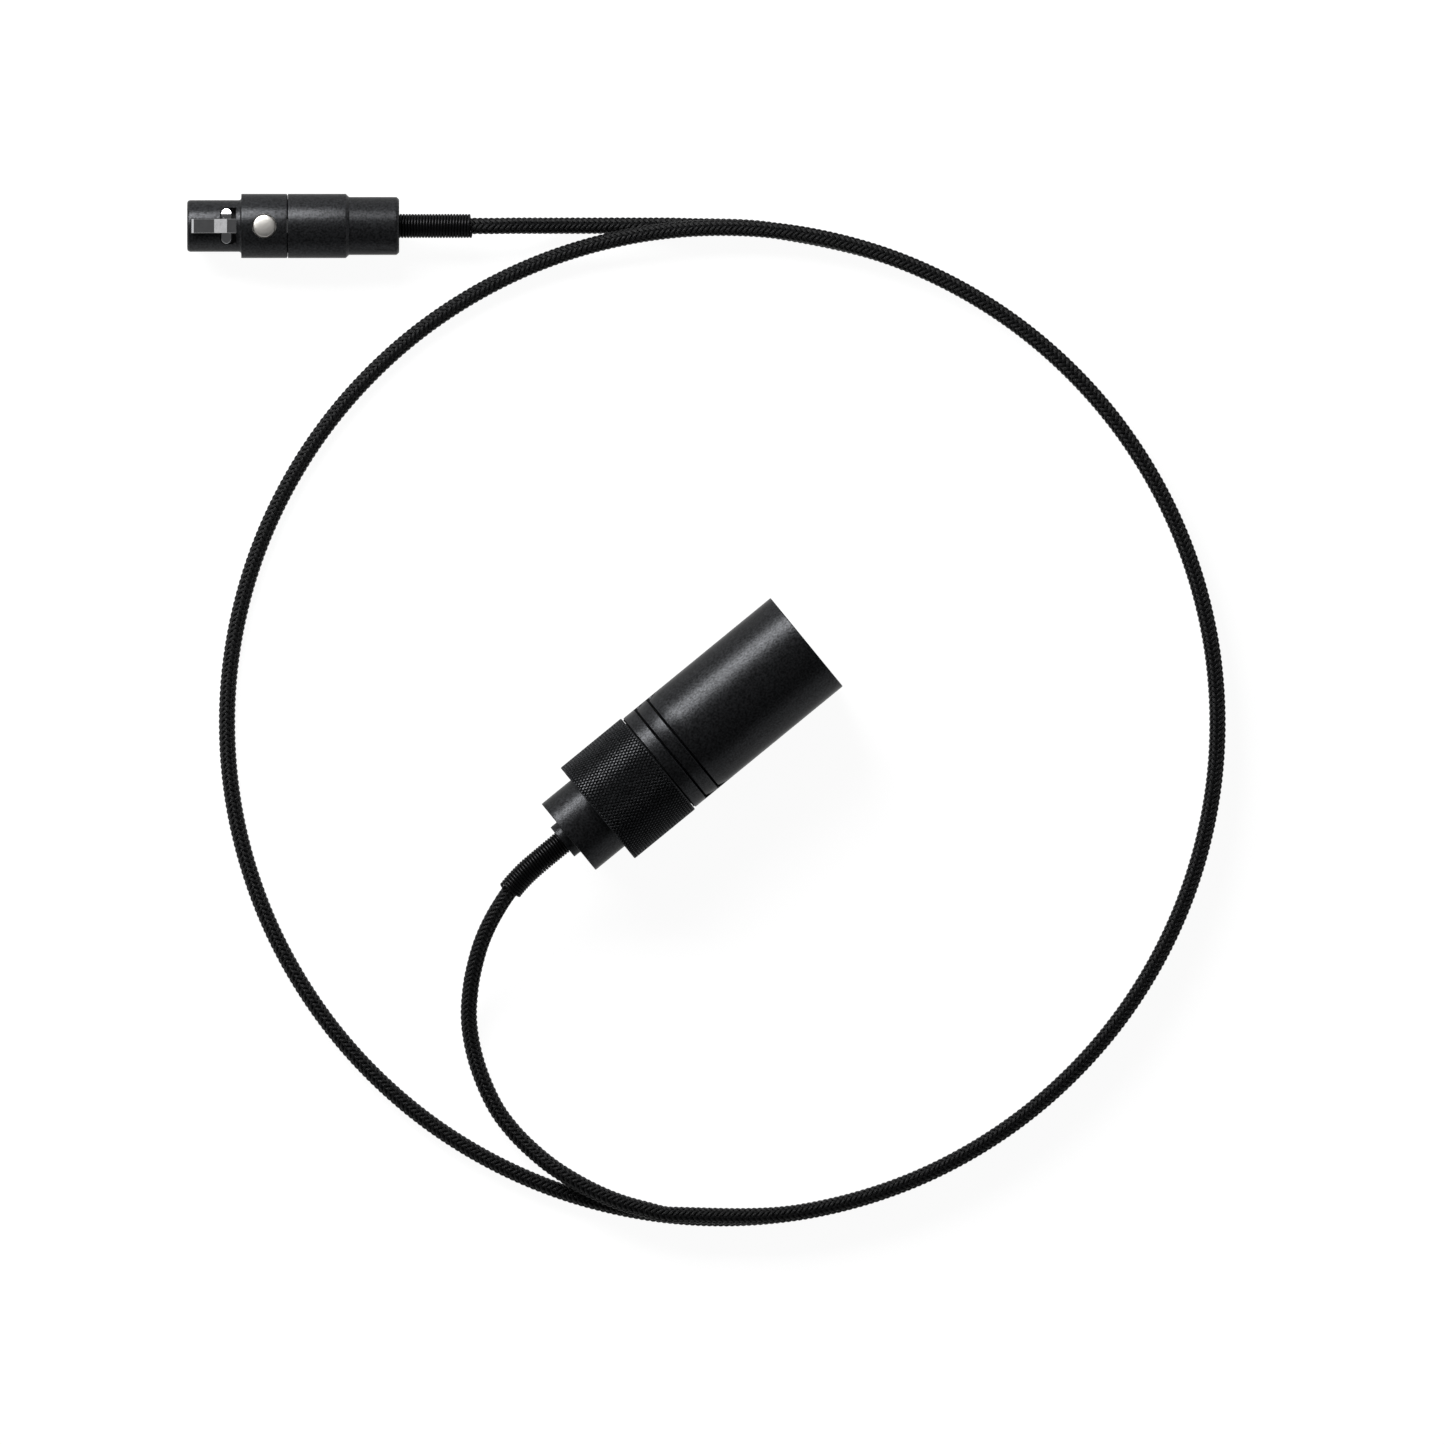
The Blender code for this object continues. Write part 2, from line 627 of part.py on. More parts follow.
def mini_anchors(plug):
    inside = [plug_point(plug, z) for z in (MINI_CABLE_FACE, MINI_CAVITY_REAR, MINI_REAR)]
    return inside + run_points(MINI_RUN)


def xlr_anchors(plug):
    inside = [plug_point(plug, z) for z in (XLR_NECK_REAR, XLR_CAVITY_REAR, XLR_CABLE_FACE)]
    return run_points(XLR_RUN) + inside


def cord_route(mini_plug, xlr_plug):
    """The whole cord, from inside the miniature plug, round the coil and into the full-size plug."""
    return mini_anchors(mini_plug) + coil_route() + xlr_anchors(xlr_plug)


def route_length(points):
    return sum((b - a).length for a, b in zip(points, points[1:]))


def even_points(points, start, end, spacing):
    """Points at even distances from start to end along a route, each with the route's direction there."""
    count = max(1, round((end - start) / spacing))
    found = []
    walked = 0.0
    segment = 0
    step = points[1] - points[0]
    for i in range(count + 1):
        distance = start + (end - start) * i / count
        while walked + step.length < distance and segment < len(points) - 2:
            walked += step.length
            segment += 1
            step = points[segment + 1] - points[segment]
        found.append((points[segment] + step * ((distance - walked) / step.length), step.normalized()))
    return found


def least_gap(points, diameter, apart):
    """The least clear distance between two lengths of a tube that lie further apart along it than apart."""
    along = [0.0]
    for a, b in zip(points, points[1:]):
        along.append(along[-1] + (b - a).length)
    gaps = [
        (points[i] - points[j]).length - diameter
        for i in range(len(points))
        for j in range(i + 1, len(points))
        if along[j] - along[i] > apart
    ]
    return min(gaps)


# ---------------------------------------------------------------- pieces that both plugs have


def strain_spring(name, centre_line, start, length):
    """A coil spring wound round a line of points, its first end at a distance along the line."""
    count = round(SPRING_TURNS * SPRING_POINTS_PER_TURN)
    first = start + SPRING_WIRE / 2
    last = start + length - SPRING_WIRE / 2
    points = []
    for i, (middle, forward) in enumerate(even_points(centre_line, first, last, (last - first) / count)):
        across = forward.cross(Vector((0, 0, 1))).normalized()
        over = across.cross(forward)
        angle = 2 * math.pi * i / SPRING_POINTS_PER_TURN
        points.append(middle + (across * math.cos(angle) - over * math.sin(angle)) * SPRING_MIDDLE)
    points.insert(0, points[0] + (points[0] - points[1]).normalized() * SPRING_WIRE)
    points.append(points[-1] + (points[-1] - points[-2]).normalized() * SPRING_WIRE)
    gap = least_gap(points, SPRING_WIRE, math.pi * SPRING_MIDDLE)
    print(f"{name}: {SPRING_TURNS} turns, least gap to itself {gap / MM:.2f} mm")
    tube(name, points, SPRING_WIRE, 1, black_wire())


def wires(prefix, plug, start_z, end_z, start_radius, circle, angles, diameter):
    """Three covered wires from the cord's face to the contacts' solder cups, eased outwards on the way."""
    for number, angle in enumerate(angles, start=1):
        points = []
        for i in range(WIRE_POINTS):
            t = i / (WIRE_POINTS - 1)
            radius = start_radius + (circle - start_radius) * ease(t * 1.5 - 0.2)
            z = start_z + (end_z - start_z) * t
            points.append(Vector(polar_point((0, 0), angle, radius, z)))
        tube(f"{prefix}_wire_{number}", points, diameter, 1, wire_cover(number), plug)


# ---------------------------------------------------------------- the full-size plug


def xlr_shell(plug):
    radius = XLR_SHELL_RADIUS
    mouth = XLR_MOUTH_RADIUS
    rounding = XLR_EDGE_ROUND
    outline = [
        (mouth, 0.0),
        (radius - rounding, 0.0),
        (radius - 0.3 * rounding, -0.3 * rounding),
        (radius, -rounding),
        (radius, XLR_SHELL_REAR + rounding),
        (radius - rounding, XLR_SHELL_REAR),
        (XLR_SPIGOT_RADIUS, XLR_SHELL_REAR),
        (XLR_SPIGOT_RADIUS, XLR_SPIGOT_REAR),
        (XLR_REAR_BORE, XLR_SPIGOT_REAR),
        (XLR_REAR_BORE, XLR_LIP_REAR),
        (XLR_LIP_BORE, XLR_LIP_REAR),
        (XLR_LIP_BORE, XLR_LIP_FRONT),
        (mouth, XLR_LIP_FRONT),
    ]
    shell = turned("xlr_shell", outline, LARGE_SIDES, black_metal(), plug)
    for step in range(XLR_GRIP_STEPS):
        groove = XLR_SHELL_REAR + (step + 1) * XLR_GRIP_PITCH
        for side, middle in (("lower", 0.0), ("upper", 180.0)):
            rise = 2 * XLR_GRIP_DEPTH
            run = XLR_GRIP_RAMP * rise / XLR_GRIP_DEPTH
            floor = radius - XLR_GRIP_DEPTH
            triangle = [(floor, groove), (floor + rise, groove), (floor + rise, groove + run)]
            cut(shell, arc_mesh(f"grip_{side}_{step + 1}", triangle, XLR_GRIP_HALF_ANGLE, middle, 20))
    window_front = -XLR_WINDOW_START
    low = (mouth - FIT_GAP, -XLR_WINDOW_WIDTH / 2, window_front - XLR_WINDOW_LENGTH)
    high = (radius + FIT_GAP, XLR_WINDOW_WIDTH / 2, window_front)
    cut(shell, box_mesh("latch_window", low, high))


def xlr_insert(plug):
    outline = [
        (0.0, XLR_INSERT_FRONT),
        (XLR_INSERT_RADIUS, XLR_INSERT_FRONT),
        (XLR_INSERT_RADIUS, XLR_INSERT_REAR),
        (0.0, XLR_INSERT_REAR),
    ]
    insert = turned("xlr_insert", outline, LARGE_SIDES, black_plastic(), plug)
    hole = XLR_PIN_DIAMETER / 2 + SNUG_GAP
    for number, angle in enumerate(XLR_PIN_ANGLES, start=1):
        drill = rod_mesh(
            f"pin_hole_{number}", hole, XLR_INSERT_REAR - FIT_GAP, XLR_INSERT_FRONT + FIT_GAP, SMALL_SIDES
        )
        cut(insert, drill, polar_point((0, 0), angle, XLR_PIN_CIRCLE / 2))


def xlr_pins(plug):
    radius = XLR_PIN_DIAMETER / 2
    cup = XLR_CUP_DIAMETER / 2
    tip = -XLR_PIN_RECESS
    outline = [
        (0.0, tip),
        (0.5 * radius, tip),
        (0.85 * radius, tip - 0.2 * radius),
        (radius, tip - 0.6 * radius),
        (radius, XLR_CUP_FRONT),
        (cup, XLR_CUP_FRONT),
        (cup, XLR_CUP_REAR),
        (cup - XLR_CUP_WALL, XLR_CUP_REAR),
        (cup - XLR_CUP_WALL, XLR_CUP_REAR + XLR_CUP_DEPTH),
        (0.0, XLR_CUP_REAR + XLR_CUP_DEPTH),
    ]
    for number, angle in enumerate(XLR_PIN_ANGLES, start=1):
        place = polar_point((0, 0), angle, XLR_PIN_CIRCLE / 2)
        turned(f"xlr_pin_{number}", outline, SMALL_SIDES, gold_metal(), plug, place)


def xlr_ground_clip(plug):
    """A bent strip that joins the plug's earth contact to its shell, behind the insert."""
    inner = XLR_CUP_DIAMETER / 2
    wall = XLR_REAR_BORE - FIT_GAP
    front = XLR_CUP_FRONT
    back = front - XLR_CLIP_THICKNESS
    end = XLR_CLIP_REAR
    strip = [
        (front, inner),
        (front, wall),
        (end, wall),
        (end, wall - XLR_CLIP_THICKNESS),
        (back, wall - XLR_CLIP_THICKNESS),
        (back, inner),
    ]
    # The strip's outer corners stay inside the round bore: it is set in by the bore's fall over its width.
    fall = XLR_REAR_BORE - math.sqrt(XLR_REAR_BORE**2 - (XLR_CLIP_WIDTH / 2) ** 2)
    mesh = plate_mesh("xlr_ground_clip", strip, XLR_CLIP_WIDTH)
    add_object("xlr_ground_clip", mesh, satin_metal(), plug, (-fall, 0.0, 0.0))


def xlr_knurled_ring(plug):
    radius = XLR_RING_RADIUS
    chamfer = XLR_RING_CHAMFER
    outline = [
        (XLR_RING_BORE, XLR_RING_FRONT),
        (radius - chamfer, XLR_RING_FRONT),
        (radius, XLR_RING_FRONT - chamfer),
        (radius, XLR_RING_REAR + chamfer),
        (radius - chamfer, XLR_RING_REAR),
        (XLR_LIP_HOLE, XLR_RING_REAR),
        (XLR_LIP_HOLE, XLR_RING_LIP),
        (XLR_RING_BORE, XLR_RING_LIP),
    ]
    turned("xlr_knurled_ring", outline, LARGE_SIDES, black_metal(), plug)


def xlr_slip_washer(plug):
    outline = [
        (XLR_LIP_HOLE, XLR_WASHER_FRONT),
        (XLR_FLANGE_RADIUS, XLR_WASHER_FRONT),
        (XLR_FLANGE_RADIUS, XLR_WASHER_REAR),
        (XLR_LIP_HOLE, XLR_WASHER_REAR),
    ]
    turned("xlr_slip_washer", outline, MEDIUM_SIDES, fibre(), plug)


def xlr_end_cap(plug):
    neck = XLR_NECK_DIAMETER / 2
    outline = [
        (XLR_CAVITY_RADIUS, XLR_FLANGE_FRONT),
        (XLR_FLANGE_RADIUS, XLR_FLANGE_FRONT),
        (XLR_FLANGE_RADIUS, XLR_FLANGE_REAR),
        (XLR_CAP_RADIUS, XLR_FLANGE_REAR),
        (XLR_CAP_RADIUS, XLR_CAP_REAR),
        (neck, XLR_CAP_REAR),
        (neck, XLR_NECK_REAR),
        (SPRING_SEAT_BORE, XLR_NECK_REAR),
        (SPRING_SEAT_BORE, XLR_SEAT_FLOOR),
        (CORD_BORE, XLR_SEAT_FLOOR),
        (CORD_BORE, XLR_CAVITY_REAR),
        (XLR_CAVITY_RADIUS - XLR_CHUCK_TAPER, XLR_CAVITY_REAR),
    ]
    turned("xlr_end_cap", outline, LARGE_SIDES, black_metal(), plug)


def xlr_chuck(plug):
    """The plastic collet that the end cap squeezes on to the cord, with a sleeve behind the contacts."""
    outline = [
        (XLR_SLEEVE_RADIUS - XLR_CHUCK_WALL, XLR_SLEEVE_FRONT),
        (XLR_SLEEVE_RADIUS, XLR_SLEEVE_FRONT),
        (XLR_SLEEVE_RADIUS, XLR_CHUCK_FRONT_FACE),
        (XLR_FLANGE_RADIUS, XLR_CHUCK_FRONT_FACE),
        (XLR_FLANGE_RADIUS, XLR_CHUCK_REAR_FACE),
        (XLR_JAWS_RADIUS, XLR_CHUCK_REAR_FACE),
        (XLR_JAWS_RADIUS - XLR_CHUCK_TAPER, XLR_JAWS_REAR),
        (CORD_BORE, XLR_JAWS_REAR),
        (CORD_BORE, XLR_CHUCK_FRONT_FACE),
        (XLR_SLEEVE_RADIUS - XLR_CHUCK_WALL, XLR_CHUCK_FRONT_FACE),
    ]
    chuck = turned("xlr_chuck", outline, MEDIUM_SIDES, black_plastic(), plug)
    half = XLR_CHUCK_SLOT / 2
    reach = XLR_FLANGE_RADIUS
    low = (-reach, -half, XLR_JAWS_REAR - FIT_GAP)
    high = (reach, half, XLR_CHUCK_REAR_FACE - FIT_GAP)
    for number in (1, 2):
        turn = (0.0, 0.0, math.radians(90 * number))
        cut(chuck, box_mesh(f"chuck_slot_{number}", low, high), rotation=turn)


def xlr_wires(plug):
    start = XLR_CABLE_FACE + FIT_GAP
    end = XLR_CUP_REAR + XLR_CUP_DEPTH - 3 * FIT_GAP
    spread = 0.75 * XLR_WIRE_DIAMETER
    wires("xlr", plug, start, end, spread, XLR_PIN_CIRCLE / 2, XLR_PIN_ANGLES, XLR_WIRE_DIAMETER)


# ---------------------------------------------------------------- the miniature plug


def mini_front_shell(plug):
    outline = [
        (MINI_NOSE_BORE, 0.0),
        (MINI_NOSE_RADIUS - MINI_NOSE_ROUND, 0.0),
        (MINI_NOSE_RADIUS - 0.3 * MINI_NOSE_ROUND, -0.3 * MINI_NOSE_ROUND),
        (MINI_NOSE_RADIUS, -MINI_NOSE_ROUND),
        (MINI_NOSE_RADIUS, -MINI_NOSE_LENGTH),
        (MINI_NOSE_RADIUS + 0.3 * MINI_FILLET, -MINI_NOSE_LENGTH - 0.7 * MINI_FILLET),
        (MINI_NOSE_RADIUS + MINI_FILLET, -MINI_NOSE_LENGTH - MINI_FILLET),
        (MINI_BODY_RADIUS - MINI_EDGE_CHAMFER, -MINI_NOSE_LENGTH - MINI_FILLET),
        (MINI_BODY_RADIUS, -MINI_NOSE_LENGTH - MINI_FILLET - MINI_EDGE_CHAMFER),
        (MINI_BODY_RADIUS, MINI_FRONT_REAR + MINI_EDGE_CHAMFER),
        (MINI_BODY_RADIUS - MINI_EDGE_CHAMFER, MINI_FRONT_REAR),
        (MINI_SPIGOT_RADIUS, MINI_FRONT_REAR),
        (MINI_SPIGOT_RADIUS, MINI_SPIGOT_REAR),
        (MINI_NOSE_BORE, MINI_SPIGOT_REAR),
    ]
    shell = turned("mini_front_shell", outline, MEDIUM_SIDES, black_metal(), plug)
    half = LEVER_WIDTH / 2 + LEVER_SIDE_GAP
    over = MINI_BODY_DIAMETER
    floor = LEVER_CUT_FLOOR
    slot_front = LEVER_SIDE_GAP - LEVER_TIP
    slot_rear = MINI_SPIGOT_REAR - FIT_GAP
    nose_end = -MINI_NOSE_LENGTH
    cut(shell, box_mesh("lever_slot", (floor, -half, nose_end), (over, half, slot_front)))
    channel_high = (LEVER_CHANNEL_TOP, half, nose_end + FIT_GAP)
    cut(shell, box_mesh("lever_channel", (floor, -half, slot_rear), channel_high))
    spigot_front = MINI_FRONT_REAR + WELD_DISTANCE
    cut(shell, box_mesh("spigot_slot", (floor, -half, slot_rear), (over, half, spigot_front)))
    arm_reach = ARM_RADIUS * math.sin(math.radians(ARM_HALF_ANGLE)) + WINDOW_MARGIN
    arm_low = ARM_RADIUS * math.cos(math.radians(ARM_HALF_ANGLE)) - ARM_THICKNESS - LEVER_THICKNESS
    window_high = (over, arm_reach, WINDOW_FRONT)
    cut(shell, box_mesh("arm_window", (arm_low, -arm_reach, WINDOW_REAR), window_high))
    well = rod_mesh("button_well", BUTTON_WELL_RADIUS, floor, over, MEDIUM_SIDES)
    cut(shell, well, BUTTON_PLACE, UPRIGHT)
    pocket = rod_mesh("button_pocket", BUTTON_POCKET_RADIUS, floor, BUTTON_POCKET_TOP, MEDIUM_SIDES)
    cut(shell, pocket, BUTTON_PLACE, UPRIGHT)
    hole = rod_mesh("latch_pin_hole", LATCH_PIN_DIAMETER / 2 + PIN_PLAY, -over, over, SMALL_SIDES)
    cut(shell, hole, LEVER_PIVOT_PLACE, ACROSS)


def mini_insert(plug):
    outline = [
        (0.0, MINI_INSERT_FRONT),
        (MINI_INSERT_RADIUS, MINI_INSERT_FRONT),
        (MINI_INSERT_RADIUS, MINI_INSERT_REAR),
        (0.0, MINI_INSERT_REAR),
    ]
    insert = turned("mini_insert", outline, MEDIUM_SIDES, black_plastic(), plug)
    half = LEVER_WIDTH / 2 + LEVER_SIDE_GAP
    over = MINI_BODY_RADIUS
    low = MINI_INSERT_REAR - FIT_GAP
    high = MINI_INSERT_FRONT + FIT_GAP
    cut(insert, box_mesh("insert_channel", (LEVER_CHANNEL_FLOOR, -half, low), (over, half, high)))
    recess_low = (ARM_RECESS_FLOOR, -over, WINDOW_REAR - WINDOW_MARGIN)
    cut(insert, box_mesh("arm_recess", recess_low, (over, over, WINDOW_FRONT + WINDOW_MARGIN)))
    for number, angle in enumerate(MINI_SOCKET_ANGLES, start=1):
        drill = rod_mesh(f"socket_hole_{number}", MINI_SOCKET_RADIUS + PIN_PLAY, low, high, TINY_SIDES)
        cut(insert, drill, polar_point((0, 0), angle, MINI_SOCKET_CIRCLE / 2))


def mini_sockets(plug):
    front = MINI_INSERT_FRONT - FIT_GAP
    bore = MINI_SOCKET_BORE / 2
    outline = [
        (0.0, front - MINI_SOCKET_DEPTH),
        (bore, front - MINI_SOCKET_DEPTH),
        (bore, front),
        (MINI_SOCKET_RADIUS, front),
        (MINI_SOCKET_RADIUS, MINI_CUP_REAR),
        (bore, MINI_CUP_REAR),
        (bore, MINI_CUP_REAR + MINI_CUP_DEPTH),
        (0.0, MINI_CUP_REAR + MINI_CUP_DEPTH),
    ]
    for number, angle in enumerate(MINI_SOCKET_ANGLES, start=1):
        place = polar_point((0, 0), angle, MINI_SOCKET_CIRCLE / 2)
        turned(f"mini_socket_{number}", outline, TINY_SIDES, gold_metal(), plug, place)


def mini_latch_lever(plug):
    """The latch: a lever that tips on its pin, with a cross arm that catches under the nose."""
    outline = [
        (-LEVER_TIP, LEVER_FRONT_LOW),
        (-LEVER_TIP, LEVER_TOP - LEVER_TIP_CHAMFER),
        (-LEVER_TIP - LEVER_TIP_CHAMFER, LEVER_TOP),
        (LEVER_FLAT_END, LEVER_TOP),
        (LEVER_SLOPE_END, (LEVER_TOP + LEVER_BACK_TOP) / 2),
        (LEVER_DIP_END, LEVER_BACK_TOP),
        (LEVER_EYE_FRONT, LEVER_BACK_TOP),
    ]
    for angle in range(50, 331, 28):
        outline.append(polar_point((LEVER_PIVOT, LEVER_BACK_LOW), angle, LEVER_EYE_RADIUS)[:2])
    outline += [
        (LEVER_EYE_FRONT, LEVER_BACK_LOW),
        (LEVER_DIP_END, LEVER_BACK_LOW),
        (LEVER_SLOPE_END, (LEVER_FRONT_LOW + LEVER_BACK_LOW) / 2),
        (LEVER_FLAT_END, LEVER_FRONT_LOW),
    ]
    mesh = plate_mesh("mini_latch_lever", outline, LEVER_WIDTH)
    mesh.transform(Matrix.Translation(-Vector(LEVER_PIVOT_PLACE)))
    lever = add_object("mini_latch_lever", mesh, chrome_metal(), plug, LEVER_PIVOT_PLACE)
    inner = ARM_RADIUS - ARM_THICKNESS
    band = [(inner, ARM_FRONT), (ARM_RADIUS, ARM_FRONT), (ARM_RADIUS, ARM_REAR), (inner, ARM_REAR)]
    cut(lever, arc_mesh("cross_arm", band, ARM_HALF_ANGLE), joins=True)
    hole = rod_mesh("lever_eye", LATCH_PIN_DIAMETER / 2 + PIN_PLAY, -LEVER_WIDTH, LEVER_WIDTH, SMALL_SIDES)
    cut(lever, hole, LEVER_PIVOT_PLACE, ACROSS)


def mini_latch_pin(plug):
    half = LATCH_PIN_LENGTH / 2
    mesh = rod_mesh("mini_latch_pin", LATCH_PIN_DIAMETER / 2, -half, half, SMALL_SIDES)
    mesh.shade_smooth()
    mesh.set_sharp_from_angle(angle=SHARP_ANGLE)
    add_object("mini_latch_pin", mesh, satin_metal(), plug, LEVER_PIVOT_PLACE, ACROSS)


def mini_latch_spring(plug):
    """A leaf under the lever, near its pivot, that lifts the latch back."""
    rear = MINI_INSERT_REAR + 2 * FIT_GAP
    low = LEVER_CHANNEL_FLOOR + PIN_PLAY
    front = rear + LEAF_LENGTH
    strip = [
        (rear, low),
        (front, low + LEAF_RISE),
        (front, low + LEAF_RISE + LEAF_THICKNESS),
        (rear, low + LEAF_THICKNESS),
    ]
    mesh = plate_mesh("mini_latch_spring", strip, LEVER_WIDTH)
    add_object("mini_latch_spring", mesh, satin_metal(), plug)


def mini_push_button(plug):
    radius = BUTTON_RADIUS
    top = MINI_BODY_RADIUS + BUTTON_CROWN
    outline = [
        (0.0, top),
        (0.5 * radius, top - 0.2 * BUTTON_CROWN),
        (0.85 * radius, top - 0.8 * BUTTON_CROWN),
        (radius, top - 1.8 * BUTTON_CROWN),
        (radius, BUTTON_FLANGE_TOP),
        (BUTTON_FLANGE_RADIUS, BUTTON_FLANGE_TOP),
        (BUTTON_FLANGE_RADIUS, BUTTON_LOW),
        (0.0, BUTTON_LOW),
    ]
    turned("mini_push_button", outline, MEDIUM_SIDES, satin_metal(), plug, BUTTON_PLACE, UPRIGHT)


def mini_backshell(plug):
    outline = [
        (MINI_THREAD_BORE, MINI_BACK_FRONT),
        (MINI_BODY_RADIUS - MINI_EDGE_CHAMFER, MINI_BACK_FRONT),
        (MINI_BODY_RADIUS, MINI_BACK_FRONT - MINI_EDGE_CHAMFER),
        (MINI_BODY_RADIUS, MINI_WIDE_REAR),
        (MINI_TAIL_RADIUS, MINI_WIDE_REAR - MINI_TAIL_STEP),
        (MINI_TAIL_RADIUS, MINI_REAR + MINI_TAIL_CHAMFER),
        (MINI_TAIL_RADIUS - MINI_TAIL_CHAMFER, MINI_REAR),
        (SPRING_SEAT_BORE, MINI_REAR),
        (SPRING_SEAT_BORE, MINI_SEAT_FLOOR),
        (CORD_BORE, MINI_SEAT_FLOOR),
        (CORD_BORE, MINI_CAVITY_REAR),
        (MINI_TAIL_BORE, MINI_CAVITY_REAR),
        (MINI_TAIL_BORE, MINI_THREAD_END),
        (MINI_THREAD_BORE, MINI_THREAD_END),
    ]
    turned("mini_backshell", outline, MEDIUM_SIDES, black_metal(), plug)


def mini_cable_clamp(plug):
    hollow = MINI_CLAMP_RADIUS - XLR_CHUCK_WALL
    outline = [
        (hollow, MINI_CLAMP_FRONT),
        (MINI_CLAMP_RADIUS, MINI_CLAMP_FRONT),
        (MINI_CLAMP_RADIUS, MINI_CLAMP_FLOOR),
        (0.75 * MINI_CLAMP_RADIUS, MINI_CLAMP_REAR),
        (CORD_BORE, MINI_CLAMP_REAR),
        (CORD_BORE, MINI_CLAMP_FLOOR),
        (hollow, MINI_CLAMP_FLOOR),
    ]
    clamp = turned("mini_cable_clamp", outline, MEDIUM_SIDES, black_plastic(), plug)
    half = MINI_CLAMP_SLOT / 2
    reach = MINI_BODY_RADIUS
    low = (-reach, -half, MINI_CLAMP_REAR - FIT_GAP)
    high = (reach, half, MINI_CLAMP_FLOOR - 3 * FIT_GAP)
    for number in (1, 2):
        turn = (0.0, 0.0, math.radians(90 * number))
        cut(clamp, box_mesh(f"clamp_slot_{number}", low, high), rotation=turn)


def mini_wires(plug):
    start = MINI_CABLE_FACE + FIT_GAP
    end = MINI_CUP_REAR + MINI_CUP_DEPTH - 2 * FIT_GAP
    spread = MINI_WIRE_DIAMETER
    wires("mini", plug, start, end, spread, MINI_SOCKET_CIRCLE / 2, MINI_SOCKET_ANGLES, MINI_WIRE_DIAMETER)


# ---------------------------------------------------------------- the assembly


def full_size_plug(plug):
    xlr_shell(plug)
    xlr_insert(plug)
    xlr_pins(plug)
    xlr_ground_clip(plug)
    xlr_wires(plug)
    xlr_chuck(plug)
    xlr_slip_washer(plug)
    xlr_knurled_ring(plug)
    xlr_end_cap(plug)


def miniature_plug(plug):
    mini_front_shell(plug)
    mini_insert(plug)
    mini_sockets(plug)
    mini_latch_lever(plug)
    mini_latch_pin(plug)
    mini_latch_spring(plug)
    mini_push_button(plug)
    mini_cable_clamp(plug)
    mini_wires(plug)
    mini_backshell(plug)


def braided_cable(route):
    tube("braided_cable", route, CORD_DIAMETER, 1, black_braid())
    length = route_length(route)
    places = [point for point, forward in even_points(route, 0.0, length, 1.0 * MM)]
    gap = least_gap(places, CORD_DIAMETER, 5 * CORD_DIAMETER)
    print(f"braided_cable: {len(route)} points, {length / MM:.0f} mm, least gap to itself {gap / MM:.2f} mm")


def springs(route):
    """A spring on the cord at each plug, its inner end seated in the plug."""
    seated = SPRING_SEAT_DEPTH - FIT_GAP
    curve = smooth_route(route, SPRING_WIRE)
    for name, line, exit_distance in (
        ("mini_strain_spring", curve, MINI_CABLE_FACE - MINI_REAR),
        ("xlr_strain_spring", list(reversed(curve)), XLR_CABLE_FACE - XLR_NECK_REAR),
    ):
        strain_spring(name, line, exit_distance - seated, SPRING_LENGTH + seated)


def main():
    flat = math.radians(90)
    xlr_plug = new_plug("xlr_plug", XLR_CABLE_END, -XLR_NECK_REAR, XLR_HEIGHT, (0.0, flat, 0.0))
    mini_plug = new_plug("mini_plug", MINI_CABLE_END, MINI_LENGTH, MINI_HEIGHT, (0.0, -flat, COIL_TURN))
    full_size_plug(xlr_plug)
    miniature_plug(mini_plug)
    route = cord_route(mini_plug, xlr_plug)
    braided_cable(route)
    springs(route)
    bpy.context.view_layer.update()


clear_scene()
parts = new_collection("xlr_cable_coil")
cutters = new_collection("cutters")
cutters.hide_render = True
main()
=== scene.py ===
"""A coiled braided audio cable with a full-size plug and a miniature plug, dressed for a studio view."""

import json
import math

import bmesh
import bpy
import numpy as np
from mathutils import Matrix, Vector


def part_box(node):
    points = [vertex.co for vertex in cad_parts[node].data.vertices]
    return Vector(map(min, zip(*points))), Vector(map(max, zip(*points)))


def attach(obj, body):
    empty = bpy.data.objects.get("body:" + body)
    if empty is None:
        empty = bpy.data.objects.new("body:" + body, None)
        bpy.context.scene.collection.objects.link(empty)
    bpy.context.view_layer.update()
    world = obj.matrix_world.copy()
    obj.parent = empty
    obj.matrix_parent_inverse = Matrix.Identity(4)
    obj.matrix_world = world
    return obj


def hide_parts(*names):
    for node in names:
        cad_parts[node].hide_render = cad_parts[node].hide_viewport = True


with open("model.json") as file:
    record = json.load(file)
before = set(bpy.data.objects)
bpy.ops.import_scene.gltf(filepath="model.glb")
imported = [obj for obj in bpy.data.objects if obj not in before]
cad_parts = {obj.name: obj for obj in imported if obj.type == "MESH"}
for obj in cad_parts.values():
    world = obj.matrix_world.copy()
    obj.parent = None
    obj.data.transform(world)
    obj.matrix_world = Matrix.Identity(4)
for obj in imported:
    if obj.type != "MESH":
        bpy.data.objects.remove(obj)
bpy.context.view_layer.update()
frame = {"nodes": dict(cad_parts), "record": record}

MM = 0.001

# The cord and its coil; where it climbs, starts and ends is in degrees round the coil
COIL_RADIUS = 82.4 * MM
COIL_CENTRE = (11.79 * MM, -57.66 * MM)
COIL_TURN = math.radians(-39.3)
COIL_POINTS_PER_TURN = 24
CORD_REST = 1.39 * MM
LAYER_RISE = 2.76 * MM
CLIMB_FROM = -235.0
CLIMB_TO = -264.0
COIL_FROM = 84.0
COIL_TO = -441.0

